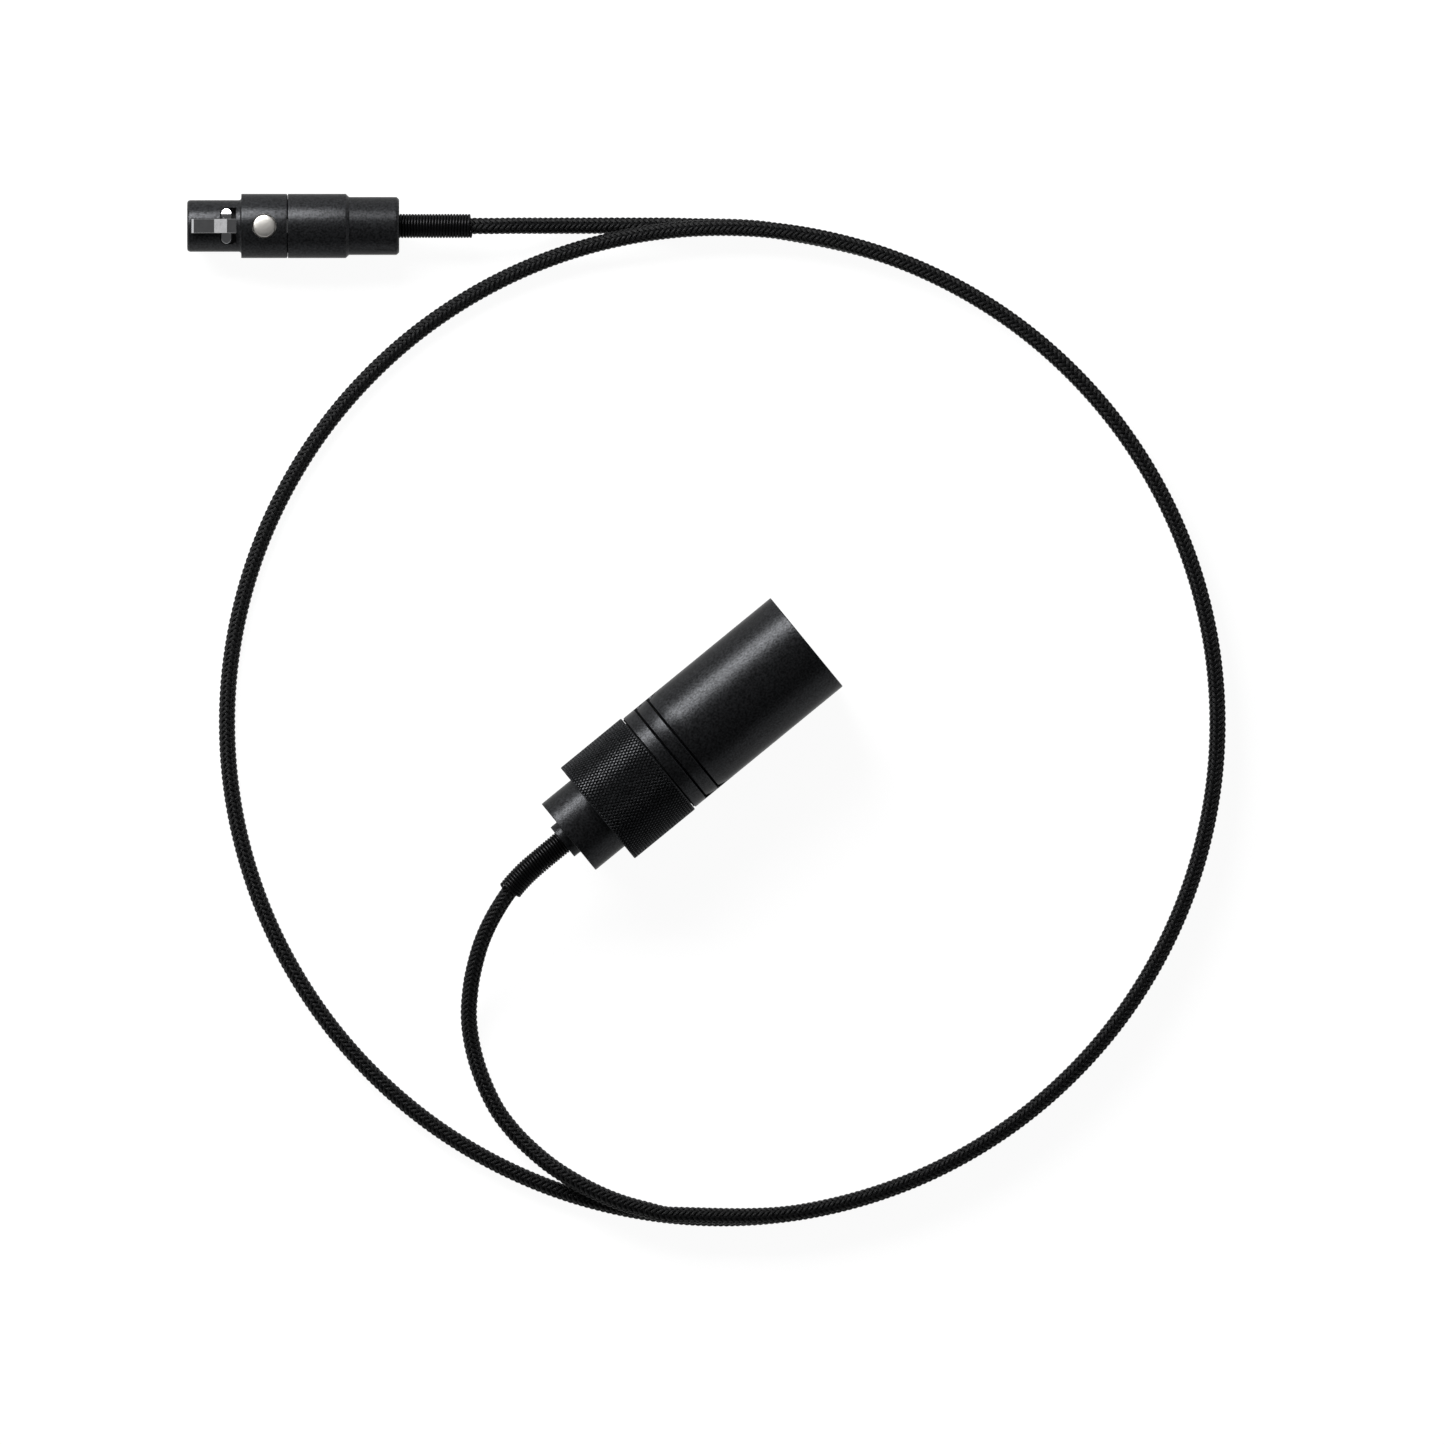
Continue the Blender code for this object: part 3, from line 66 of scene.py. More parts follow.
# The braid: eight carriers each way, over two and under two
BRAID_CARRIERS = 8
BRAID_LEAD = 7.45 * MM
BRAID_MIDDLE = 1.12 * MM
BRAID_LIFT = 0.12 * MM
STRAND_HALF_WIDTH = 0.3 * MM
STRAND_CROWN = 0.17 * MM
STRAND_STEP = 0.23 * MM
YARN_THREADS = 18
CORE_RADIUS = 0.95 * MM

# The two strain springs
SPRING_WIRE = 0.47 * MM
SPRING_MIDDLE = 1.795 * MM
SPRING_PITCH = 0.512 * MM
SPRING_VISIBLE = 12.2 * MM
SPRING_SEATED = 1.2 * MM
SPRING_STEPS_PER_TURN = 20
SPRING_SIDES = 10

# The full-size plug, in its own frame: mouth at zero, cable at negative z
XLR_RADIUS = 9.5 * MM
XLR_RING_RADIUS = 9.75 * MM
XLR_SHELL_REAR = -31.5 * MM
XLR_NECK_REAR = -52.33 * MM
XLR_CABLE_FACE = -37.66 * MM
XLR_CAVITY_REAR = -49.83 * MM
SHELL_SIDES = 360
CAP_SIDES = 128
GRIP_FIRST = 2.25 * MM
GRIP_PITCH = 2.6 * MM
GRIP_DEPTH = 0.8 * MM
GRIP_RAMP_DEPTH = 0.32 * MM
GRIP_RAMP = 2.3 * MM
GRIP_EDGE = 0.06 * MM
GRIP_EDGE_DEPTH = 0.05 * MM
GRIP_VALLEY = 0.2 * MM
GRIP_STEEP = 0.42 * MM
GRIP_MIDDLE = 1.2 * MM
GRIP_MIDDLE_DEPTH = 0.15 * MM
GRIP_HALF_ANGLE = 85.0
KNURL_AROUND = 100
KNURL_PITCH = 1.045 * MM
KNURL_DEPTH = 0.14 * MM
KNURL_FRONT = -32.0 * MM
KNURL_ROWS = 47

# The miniature plug, in its own frame: nose at zero, cable at negative z
MINI_REAR = -35.28 * MM
MINI_CABLE_FACE = -30.28 * MM
MINI_CAVITY_REAR = -32.98 * MM
BUTTON_PLACE = -12.83 * MM
MINI_SIDES = 160
BUTTON_SIDES = 96

# The latch: its bar, and the cross arm with its rounded, folded-down ends
LATCH_HALF_WIDTH = 1.165 * MM
LATCH_BEVEL = 0.025 * MM
ARM_RADIUS = 0.83 * MM
ARM_REACH = 2.1 * MM
ARM_THICKNESS = 0.4 * MM
ARM_BEVEL = 0.06 * MM
ARM_SLOPE = 0.14
ARM_END_SLOPE = 0.34

# Finishes: how fine the grain of plain metal and mouldings is, and how deep
POLISH_SCALE = 2500.0
POLISH_DEPTH = 0.0004 * MM
MOULDING_SCALE = 2000.0
MOULDING_DEPTH = 0.003 * MM
YARN_DEPTH = 0.012 * MM
BLASTED_SCALE = 2900.0

# The stage, the light and the camera
FLOOR_HALF_WIDTH = 6.0
FLOOR_DROP = 0.02 * MM
FLOOR_SHADE = 0.12
FLOOR_GLOW = 0.94
ZENITH_LIGHT = 0.1
HORIZON_LIGHT = 0.9
HORIZON_TOP = 0.55
VIEW_WIDTH = 240.4 * MM
CAMERA_PLACE = (0.04 * MM, 0.09 * MM, 0.6)

ROUNDING_STEPS = 4
SHARP_ANGLE = 32.0

# The cord's free stretches in the coil's own frame, in millimetres: x, y, and the height of its middle
MINI_RUN = (
    (-49.0, 82.7, 5.35),
    (-44.5, 82.7, 5.35),
    (-41.0, 82.7, 5.34),
    (-38.2, 82.7, 5.28),
    (-34.5, 82.75, 4.6),
    (-30.0, 82.75, 3.1),
    (-25.5, 82.75, 1.9),
    (-20.5, 82.75, 1.45),
    (-14.5, 82.75, 1.39),
    (-7.0, 82.7, 1.39),
)
XLR_RUN = (
    (-8.6, -81.8, 4.15),
    (-12.8, -80.9, 4.15),
    (-17.0, -79.7, 4.13),
    (-20.9, -78.1, 4.06),
    (-24.7, -76.1, 3.82),
    (-28.3, -73.8, 3.1),
    (-31.6, -71.1, 2.12),
    (-34.7, -68.0, 1.52),
    (-37.6, -64.1, 1.39),
    (-40.0, -59.0, 1.39),
    (-41.5, -54.0, 1.55),
    (-42.15, -49.0, 2.3),
    (-41.85, -44.0, 3.6),
    (-41.1, -40.1, 4.9),
    (-39.9, -36.1, 6.4),
    (-38.05, -32.15, 7.8),
    (-35.4, -28.0, 8.95),
    (-32.75, -25.0, 9.5),
    (-29.7, -22.35, 9.72),
)


# ---------------------------------------------------------------- places


def coil_point(x, y, z):
    """A point of the coil's own frame, in the part's frame."""
    return Matrix.Rotation(COIL_TURN, 3, "Z") @ Vector((x, y, z)) + Vector((*COIL_CENTRE, 0.0))


def xlr_place():
    """The full-size plug's own frame: its mouth's middle, with Z out of the mouth and X down."""
    low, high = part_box("xlr_shell")
    middle = (low + high) / 2
    turn = Matrix(((0, 0, 1), (0, 1, 0), (-1, 0, 0))).to_4x4()
    return Matrix.Translation((high.x, middle.y, middle.z)) @ turn


def mini_place():
    """The miniature plug's own frame: its nose's middle, with Z out of the nose and X up."""
    mount = [m for m in frame["record"]["mounts"] if m["name"] == "mini_insert_face"][0]
    forward = Vector(mount["axis"]).normalized()
    up = Vector((0, 0, 1))
    turn = Matrix((up, forward.cross(up), forward)).transposed().to_4x4()
    nose = Vector(mount["pos_m"]) + forward * 0.5 * MM
    return Matrix.Translation(nose) @ turn


# ---------------------------------------------------------------- the cord's route


def smooth_route(anchors, spacing):
    """Points about one spacing apart along a smooth curve through the anchors."""
    route = []
    last = len(anchors) - 1
    for i in range(last):
        before, a, b, after = (anchors[max(0, min(last, i + k))] for k in (-1, 0, 1, 2))
        start_slope = (b - before) * ((b - a).length / max((b - a).length + (a - before).length, 1e-9))
        end_slope = (after - a) * ((b - a).length / max((after - b).length + (b - a).length, 1e-9))
        steps = max(1, round((b - a).length / spacing))
        for step in range(steps):
            t = step / steps
            route.append(
                a * (2 * t**3 - 3 * t**2 + 1)
                + start_slope * (t**3 - 2 * t**2 + t)
                + b * (3 * t**2 - 2 * t**3)
                + end_slope * (t**3 - t**2)
            )
    route.append(anchors[-1])
    for point in route:
        point.z = max(point.z, CORD_REST)
    return route


def ease(t):
    """From nothing to one, level at both ends."""
    t = max(0.0, min(1.0, t))
    return t * t * (3 - 2 * t)


def coil_route():
    """The coil's turns: on the floor at first, then climbing over the cord's start to lie on themselves."""
    step = 360.0 / COIL_POINTS_PER_TURN
    route = []
    for i in range(round((COIL_FROM - COIL_TO) / step) + 1):
        angle = COIL_FROM - i * step
        climbed = ease((angle - CLIMB_FROM) / (CLIMB_TO - CLIMB_FROM))
        x = COIL_RADIUS * math.cos(math.radians(angle))
        y = COIL_RADIUS * math.sin(math.radians(angle))
        route.append(coil_point(x, y, CORD_REST + LAYER_RISE * climbed))
    return route


def cord_anchors():
    """The cord's anchors, from inside the miniature plug, round the coil and into the full-size plug."""
    mini = mini_place()
    xlr = xlr_place()
    anchors = [mini @ Vector((0, 0, z)) for z in (MINI_CABLE_FACE, MINI_CAVITY_REAR, MINI_REAR)]
    anchors += [coil_point(x * MM, y * MM, z * MM) for x, y, z in MINI_RUN]
    anchors += coil_route()
    anchors += [coil_point(x * MM, y * MM, z * MM) for x, y, z in XLR_RUN]
    anchors += [xlr @ Vector((0, 0, z)) for z in (XLR_NECK_REAR, XLR_CAVITY_REAR, XLR_CABLE_FACE)]
    return anchors


def even_line(points, spacing):
    """The route again as an array, its points one spacing apart, and how far along each one lies."""
    line = np.array(points, float)
    along = np.concatenate(([0.0], np.cumsum(np.linalg.norm(np.diff(line, axis=0), axis=1))))
    at = np.linspace(0.0, along[-1], round(along[-1] / spacing) + 1)
    return np.stack([np.interp(at, along, line[:, k]) for k in range(3)], axis=1), at


def unit(rows):
    """The rows of an array, each made one long."""
    return rows / np.linalg.norm(rows, axis=-1, keepdims=True)


def carried_frames(line):
    """Two directions across the line at each of its points, which don't twist on the way."""
    forward = unit(np.gradient(line, axis=0))
    across = np.zeros_like(forward)
    carried = np.cross(forward[0], (0.0, 0.0, 1.0))
    for i, ahead in enumerate(forward):
        carried = unit(carried - ahead * (carried @ ahead))
        across[i] = carried
    return across, np.cross(forward, across)


# ---------------------------------------------------------------- making pieces


def new_object(name, data):
    """An object in the scene."""
    made = bpy.data.objects.new(name, data)
    bpy.context.scene.collection.objects.link(made)
    return made


def add_piece(name, mesh, finish, slot, body, *stands_for):
    """A finished piece: its place in its mesh, its finish, its body, and the solids that it stands for."""
    piece = new_object(name, mesh)
    mesh.materials.clear()
    mesh.materials.append(finish)
    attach(piece, body)
    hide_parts(*stands_for)
    return piece


def mesh_of(name, shape):
    """The mesh of a worked shape, which is freed."""
    mesh = bpy.data.meshes.new(name)
    shape.to_mesh(mesh)
    shape.free()
    return mesh


def shade(mesh, sharp):
    """Shades a mesh smooth, but for the edges that turn by more than an angle in degrees."""
    mesh.shade_smooth()
    mesh.set_sharp_from_angle(angle=math.radians(sharp))


def finished_mesh(name, shape, place=None, sharp=SHARP_ANGLE):
    """The mesh of a worked shape in its place, smooth but for its sharp edges."""
    mesh = mesh_of(name, shape)
    if place is not None:
        mesh.transform(place)
    shade(mesh, sharp)
    return mesh


def rounded(corners, steps=ROUNDING_STEPS):
    """An outline through (radius, z, rounding) corners in millimetres, each rounding an arc."""
    count = len(corners)
    outline = []
    for i, (radius, z, size) in enumerate(corners):
        corner = Vector((radius, z)) * MM
        if not size:
            outline.append(corner)
            continue
        before = Vector(corners[i - 1][:2]) * MM - corner
        after = Vector(corners[(i + 1) % count][:2]) * MM - corner
        start = corner + before.normalized() * size * MM
        end = corner + after.normalized() * size * MM
        for step in range(steps + 1):
            t = step / steps
            outline.append(start * (1 - t) ** 2 + corner * 2 * t * (1 - t) + end * t**2)
    return [(point.x, point.y) for point in outline]


def turned_shape(outline, sides):
    """An outline of (radius, z) points turned about Z."""
    shape = bmesh.new()
    verts = [shape.verts.new((radius, 0.0, z)) for radius, z in outline]
    hollow = min(radius for radius, z in outline) > 0
    ends = verts[1:] + verts[:1] if hollow else verts[1:]
    edges = [shape.edges.new(pair) for pair in zip(verts, ends)]
    bmesh.ops.spin(
        shape,
        geom=verts + edges,
        cent=(0, 0, 0),
        axis=(0, 0, 1),
        dvec=(0, 0, 0),
        angle=2 * math.pi,
        steps=sides,
        use_merge=True,
        use_duplicate=False,
    )
    bmesh.ops.remove_doubles(shape, verts=shape.verts, dist=0.0005 * MM)
    bmesh.ops.recalc_face_normals(shape, faces=shape.faces)
    return shape


def swept_mesh(name, places):
    """A closed tube through an array of rings of points, with capped ends."""
    rows, columns = places.shape[:2]
    shape = bmesh.new()
    shape.loops.layers.uv.new("UVMap")
    bmesh.ops.create_grid(shape, x_segments=columns, y_segments=rows - 1, size=0.5, calc_uvs=True)
    for vert in shape.verts:
        column = round((vert.co.x + 0.5) * columns)
        row = round((vert.co.y + 0.5) * (rows - 1))
        vert.co = places[row, column % columns]
    bmesh.ops.remove_doubles(shape, verts=shape.verts, dist=0.001 * MM)
    ends = [edge for edge in shape.edges if edge.is_boundary]
    bmesh.ops.holes_fill(shape, edges=ends, sides=columns)
    bmesh.ops.recalc_face_normals(shape, faces=shape.faces)
    mesh = mesh_of(name, shape)
    mesh.shade_smooth()
    return mesh


def joined_mesh(name, meshes):
    """Several meshes as one, smooth all over."""
    shape = bmesh.new()
    for mesh in meshes:
        shape.from_mesh(mesh)
        bpy.data.meshes.remove(mesh)
    joined = mesh_of(name, shape)
    joined.shade_smooth()
    return joined


def box_shape(low, high):
    """A box between two corners in millimetres."""
    shape = bmesh.new()
    bmesh.ops.create_cube(shape, size=1.0)
    size = (Vector(high) - Vector(low)) * MM
    bmesh.ops.scale(shape, vec=size, verts=shape.verts)
    bmesh.ops.translate(shape, vec=(Vector(high) + Vector(low)) / 2 * MM, verts=shape.verts)
    return shape


def rod_shape(radius, low, high, sides, place):
    """A cylinder along a place's Z between two heights, all in millimetres."""
    shape = bmesh.new()
    middle = Matrix.Translation((0, 0, (low + high) / 2 * MM))
    bmesh.ops.create_cone(
        shape,
        cap_ends=True,
        segments=sides,
        radius1=radius * MM,
        radius2=radius * MM,
        depth=(high - low) * MM,
        matrix=place @ middle,
    )
    return shape


def extrude(shape, way):
    """Pushes a flat shape's faces out into a solid."""
    made = bmesh.ops.extrude_face_region(shape, geom=list(shape.faces))
    moved = [part for part in made["geom"] if isinstance(part, bmesh.types.BMVert)]
    bmesh.ops.translate(shape, vec=way, verts=moved)
    bmesh.ops.recalc_face_normals(shape, faces=shape.faces)


def stand_up(shape, height, along):
    """Stands a shape on a plug's side: its z becomes the height there, and its x the way along the plug."""
    stand = Matrix(((0, 0, 1, height), (0, 1, 0, 0), (1, 0, 0, along), (0, 0, 0, 1)))
    bmesh.ops.transform(shape, matrix=stand, verts=shape.verts)
    bmesh.ops.recalc_face_normals(shape, faces=shape.faces)


def cut_mesh(name, mesh, shapes, place, sharp):
    """The mesh with the shapes cut out of it, all in a plug's own frame, then set in its place."""
    target = new_object("target", mesh)
    cutters = []
    for shape in shapes:
        cutter = new_object("cutter", mesh_of("cutter", shape))
        step = target.modifiers.new("Cut", "BOOLEAN")
        step.operation = "DIFFERENCE"
        step.object = cutter
        cutters.append(cutter)
    bpy.context.view_layer.update()
    graph = bpy.context.evaluated_depsgraph_get()
    made = bpy.data.meshes.new_from_object(target.evaluated_get(graph))
    for holder in [target, *cutters]:
        bpy.data.objects.remove(holder, do_unlink=True)
    made.transform(place)
    shade(made, sharp)
    made.name = name
    return made


# ---------------------------------------------------------------- effects that several finishes share


def new_group(name, inputs, outputs):
    """A shader group with named sockets, its first two nodes its input and its output."""
    group = bpy.data.node_groups.new(name, "ShaderNodeTree")
    for label, kind, value in inputs:
        socket = group.interface.new_socket(label, in_out="INPUT", socket_type=kind)
        if value is not None:
            socket.default_value = value
    for label, kind in outputs:
        group.interface.new_socket(label, in_out="OUTPUT", socket_type=kind)
    return group, group.nodes.new("NodeGroupInput"), group.nodes.new("NodeGroupOutput")


def noise(tree, vector, scale, detail, rough=0.55):
    """A noise texture read at a vector."""
    node = tree.nodes.new("ShaderNodeTexNoise")
    node.inputs["Scale"].default_value = scale
    node.inputs["Detail"].default_value = detail
    node.inputs["Roughness"].default_value = rough
    tree.links.new(vector, node.inputs["Vector"])
    return node


def maths(tree, operation, first, second=None):
    """The result of a sum on sockets or numbers."""
    node = tree.nodes.new("ShaderNodeMath")
    node.operation = operation
    for socket, value in zip(node.inputs, (first, second)):
        if isinstance(value, bpy.types.NodeSocket):
            tree.links.new(value, socket)
        elif value is not None:
            socket.default_value = value
    return node.outputs[0]


def spread(tree, value, low, high, first=0.25, last=0.75):
    """A value between two levels, spread over another range."""
    node = tree.nodes.new("ShaderNodeMapRange")
    node.inputs["To Min"].default_value = low
    node.inputs["To Max"].default_value = high
    node.inputs["From Min"].default_value = first
    node.inputs["From Max"].default_value = last
    tree.links.new(value, node.inputs["Value"])
    return node.outputs["Result"]


def mixed(tree, factor, first, second):
    """Two colours mixed by a factor."""
    node = tree.nodes.new("ShaderNodeMix")
    node.data_type = "RGBA"
    for socket, value in ((node.inputs[0], factor), (node.inputs[6], first), (node.inputs[7], second)):
        if isinstance(value, bpy.types.NodeSocket):
            tree.links.new(value, socket)
        else:
            socket.default_value = (*value, 1.0) if isinstance(value, tuple) else value
    return node.outputs[2]


def grain_group():
    """A blasted metal skin: the fine pits' height, their sparkle, and a broader mottling."""
    group, given, made = new_group(
        "blasted_grain",
        [("Vector", "NodeSocketVector", None), ("Scale", "NodeSocketFloat", BLASTED_SCALE)],
        [("Height", "NodeSocketFloat"), ("Sparkle", "NodeSocketFloat"), ("Mottle", "NodeSocketFloat")],
    )
    fine = noise(group, given.outputs["Vector"], 1.0, 2.0, 0.6)
    group.links.new(given.outputs["Scale"], fine.inputs["Scale"])
    broad = noise(group, given.outputs["Vector"], 1.0, 3.0, 0.5)
    group.links.new(maths(group, "MULTIPLY", given.outputs["Scale"], 0.25), broad.inputs["Scale"])
    group.links.new(fine.outputs["Fac"], made.inputs["Height"])
    group.links.new(spread(group, fine.outputs["Fac"], 0.0, 1.0, 0.34, 0.66), made.inputs["Sparkle"])
    group.links.new(spread(group, broad.outputs["Fac"], 0.0, 1.0), made.inputs["Mottle"])
    return group


def use_grain(tree, vector, scale=BLASTED_SCALE):
    """The shared grain read at a vector, at its own scale or another."""
    node = tree.nodes.new("ShaderNodeGroup")
    node.node_tree = GRAIN
    tree.links.new(vector, node.inputs["Vector"])
    node.inputs["Scale"].default_value = scale
    return node


# ---------------------------------------------------------------- finishes


def new_finish(name, colour, rough, metallic=0.0, specular=0.5):
    """A material with its tree, its Principled shader and its Object coordinates."""
    finish = bpy.data.materials.new(name)
    finish.use_nodes = True
    tree = finish.node_tree
    shader = tree.nodes["Principled BSDF"]
    shader.inputs["Base Color"].default_value = (*colour, 1.0)
    shader.inputs["Roughness"].default_value = rough
    shader.inputs["Metallic"].default_value = metallic
    shader.inputs["Specular IOR Level"].default_value = specular
    places = tree.nodes.new("ShaderNodeTexCoord")
    return finish, tree, shader, places


def bump(tree, shader, height, distance):
    """Fine relief on a shader's surface."""
    node = tree.nodes.new("ShaderNodeBump")
    node.inputs["Strength"].default_value = 1.0
    node.inputs["Distance"].default_value = distance
    tree.links.new(height, node.inputs["Height"])
    tree.links.new(node.outputs["Normal"], shader.inputs["Normal"])


def blasted_metal(name, colour, rough, sparkle, distance):
    """Black anodised metal with a blasted grain."""
    finish, tree, shader, places = new_finish(name, colour, rough, 0.7)
    shader.inputs["Specular Tint"].default_value = (0.45, 0.45, 0.45, 1.0)
    grain = use_grain(tree, places.outputs["Object"])
    darker, paler = (tuple(part * (1 + way * sparkle) for part in colour) for way in (-1, 1))
    tree.links.new(mixed(tree, grain.outputs["Sparkle"], darker, paler), shader.inputs["Base Color"])
    level = spread(tree, grain.outputs["Mottle"], rough - 0.03, rough + 0.03, 0.0, 1.0)
    tree.links.new(level, shader.inputs["Roughness"])
    bump(tree, shader, grain.outputs["Height"], distance)
    return finish


def plain_metal(name, colour, rough):
    """Bare or plated metal with faint polishing marks."""
    finish, tree, shader, places = new_finish(name, colour, rough, 1.0)
    marks = noise(tree, places.outputs["Object"], POLISH_SCALE, 3.0)
    value = spread(tree, marks.outputs["Fac"], rough - 0.04, rough + 0.06)
    tree.links.new(value, shader.inputs["Roughness"])
    bump(tree, shader, marks.outputs["Fac"], POLISH_DEPTH)
    return finish


def moulded_plastic(name, colour, rough):
    """Moulded plastic with a soft, uneven grain."""
    finish, tree, shader, places = new_finish(name, colour, rough)
    grain = use_grain(tree, places.outputs["Object"], MOULDING_SCALE)
    paler = tuple(1.25 * part for part in colour)
    tree.links.new(mixed(tree, grain.outputs["Mottle"], colour, paler), shader.inputs["Base Color"])
    level = spread(tree, grain.outputs["Mottle"], rough - 0.06, rough + 0.06, 0.0, 1.0)
    tree.links.new(level, shader.inputs["Roughness"])
    bump(tree, shader, grain.outputs["Height"], MOULDING_DEPTH)
    return finish


def yarn():
    """Black multifilament yarn: fine threads along each strand, with a dull sheen."""
    finish, tree, shader, places = new_finish("black_yarn", (0.003, 0.003, 0.0034), 0.45, specular=0.14)
    across = tree.nodes.new("ShaderNodeSeparateXYZ")
    tree.links.new(places.outputs["UV"], across.inputs["Vector"])
    threads = maths(tree, "SINE", maths(tree, "MULTIPLY", across.outputs["X"], 2 * math.pi * YARN_THREADS))
    tone = noise(tree, places.outputs["Object"], 1600.0, 4.0)
    height = maths(tree, "MULTIPLY_ADD", threads, 0.5)
    tree.links.new(tone.outputs["Fac"], height.node.inputs[2])
    pale = mixed(tree, tone.outputs["Fac"], (0.0018, 0.0018, 0.002), (0.0045, 0.0046, 0.005))
    tree.links.new(pale, shader.inputs["Base Color"])
    tree.links.new(spread(tree, tone.outputs["Fac"], 0.36, 0.52), shader.inputs["Roughness"])
    bump(tree, shader, height, YARN_DEPTH)
    return finish


# ---------------------------------------------------------------- the cord


def braid_strand(name, line, along, across, over, hand, number):
    """One strand of the braid, wound one way round the cord and lifted over two and under two others."""
    turn = hand * 2 * math.pi * along / BRAID_LEAD + 2 * math.pi * number / BRAID_CARRIERS
    radius = BRAID_MIDDLE - hand * BRAID_LIFT * np.cos(4 * turn - math.pi / 4)
    outward = across * np.cos(turn)[:, None] + over * np.sin(turn)[:, None]
    middle = line + outward * radius[:, None]
    ahead = unit(np.gradient(middle, axis=0))
    side = unit(np.cross(ahead, outward))
    section = ((-1.0, -0.1), (-0.62, 0.62), (0.0, 1.0), (0.62, 0.62), (1.0, -0.1), (0.0, -0.7))
    rings = [
        middle + side * (wide * STRAND_HALF_WIDTH) + outward * (tall * STRAND_CROWN)
        for wide, tall in section
    ]
    return swept_mesh(name, np.stack(rings, axis=1))


def braided_cord(finish, core_finish):
    """The cord: a core along the whole route, and sixteen strands braided round it."""
    anchors = cord_anchors()
    route = smooth_route(anchors, 1.0 * MM)
    curve = bpy.data.curves.new("cord_core", "CURVE")
    curve.dimensions = "3D"
    curve.bevel_depth = CORE_RADIUS
    curve.bevel_resolution = 2
    curve.use_fill_caps = True
    spline = curve.splines.new("POLY")
    spline.points.add(len(route) - 1)
    for point, place in zip(spline.points, route):
        point.co = (*place, 1.0)
    curve.materials.append(core_finish)
    core = new_object("cord_core", curve)
    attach(core, "cable")
    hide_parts("braided_cable")
    line, along = even_line(smooth_route(anchors, 0.4 * MM), STRAND_STEP)
    across, over = carried_frames(line)
    for part in range(4):
        meshes = []
        for number in (2 * part, 2 * part + 1):
            for hand in (1, -1):
                meshes.append(braid_strand("strand", line, along, across, over, hand, number))
        mesh = joined_mesh(f"braid_strands_{part + 1}", meshes)
        add_piece(mesh.name, mesh, finish, "black_braid", "cable", "braided_cable")
    return smooth_route(anchors, 0.25 * MM)


# ---------------------------------------------------------------- stage, light and camera


def studio():
    """The floor: grey to the light that falls on it, and white to the camera and in reflections."""
    shape = bmesh.new()
    bmesh.ops.create_grid(shape, x_segments=1, y_segments=1, size=FLOOR_HALF_WIDTH)
    mesh = mesh_of("floor", shape)
    mesh.transform(Matrix.Translation((0, 0, -FLOOR_DROP)))
    floor = new_object("floor", mesh)
    finish = bpy.data.materials.new("pale_floor")
    finish.use_nodes = True
    tree = finish.node_tree
    tree.nodes.remove(tree.nodes["Principled BSDF"])
    rays = tree.nodes.new("ShaderNodeLightPath")
    seen = maths(tree, "MAXIMUM", rays.outputs["Is Camera Ray"], rays.outputs["Is Glossy Ray"])
    seen = maths(tree, "MAXIMUM", seen, rays.outputs["Is Transmission Ray"])
    paint = tree.nodes.new("ShaderNodeBsdfDiffuse")
    paint.inputs["Color"].default_value = (FLOOR_SHADE, FLOOR_SHADE, FLOOR_SHADE, 1.0)
    glow = tree.nodes.new("ShaderNodeEmission")
    tree.links.new(maths(tree, "MULTIPLY", seen, FLOOR_GLOW), glow.inputs["Strength"])
    both = tree.nodes.new("ShaderNodeAddShader")
    tree.links.new(paint.outputs["BSDF"], both.inputs[0])
    tree.links.new(glow.outputs["Emission"], both.inputs[1])
    tree.links.new(both.outputs["Shader"], tree.nodes["Material Output"].inputs["Surface"])
    mesh.materials.append(finish)


def world_light():
    """Dim overhead and bright towards the horizon, as inside a softly lit tent, and white to the camera."""
    world = bpy.data.worlds.new("studio")
    bpy.context.scene.world = world
    world.use_nodes = True
    tree = world.node_tree
    tree.nodes.clear()
    places = tree.nodes.new("ShaderNodeTexCoord")
    parts = tree.nodes.new("ShaderNodeSeparateXYZ")
    tree.links.new(places.outputs["Generated"], parts.inputs["Vector"])
    level = spread(tree, parts.outputs["Z"], ZENITH_LIGHT, HORIZON_LIGHT, HORIZON_TOP, 0.0)
    level.node.interpolation_type = "SMOOTHSTEP"
    rays = tree.nodes.new("ShaderNodeLightPath")
    tent = tree.nodes.new("ShaderNodeBackground")
    tree.links.new(level, tent.inputs["Strength"])
    white = tree.nodes.new("ShaderNodeBackground")
    white.inputs["Color"].default_value = (1.0, 1.0, 1.0, 1.0)
    tent.inputs["Color"].default_value = (0.97, 0.985, 1.0, 1.0)
    mix = tree.nodes.new("ShaderNodeMixShader")
    tree.links.new(rays.outputs["Is Camera Ray"], mix.inputs[0])
    tree.links.new(tent.outputs["Background"], mix.inputs[1])
    tree.links.new(white.outputs["Background"], mix.inputs[2])
    output = tree.nodes.new("ShaderNodeOutputWorld")
    tree.links.new(mix.outputs["Shader"], output.inputs["Surface"])


def soft_light(name, place, aim, width, height, radiance):
    """A soft box at a place in the coil's frame, facing a point of it, all in millimetres."""
    light = bpy.data.lights.new(name, "AREA")
    light.shape = "RECTANGLE"
    light.size = width * MM
    light.size_y = height * MM
    light.energy = 4 * light.size * light.size_y * radiance
    lamp = new_object(name, light)
    start = coil_point(*(Vector(place) * MM))
    lamp.location = start
    lamp.rotation_euler = (start - coil_point(*(Vector(aim) * MM))).to_track_quat("Z", "Y").to_euler()


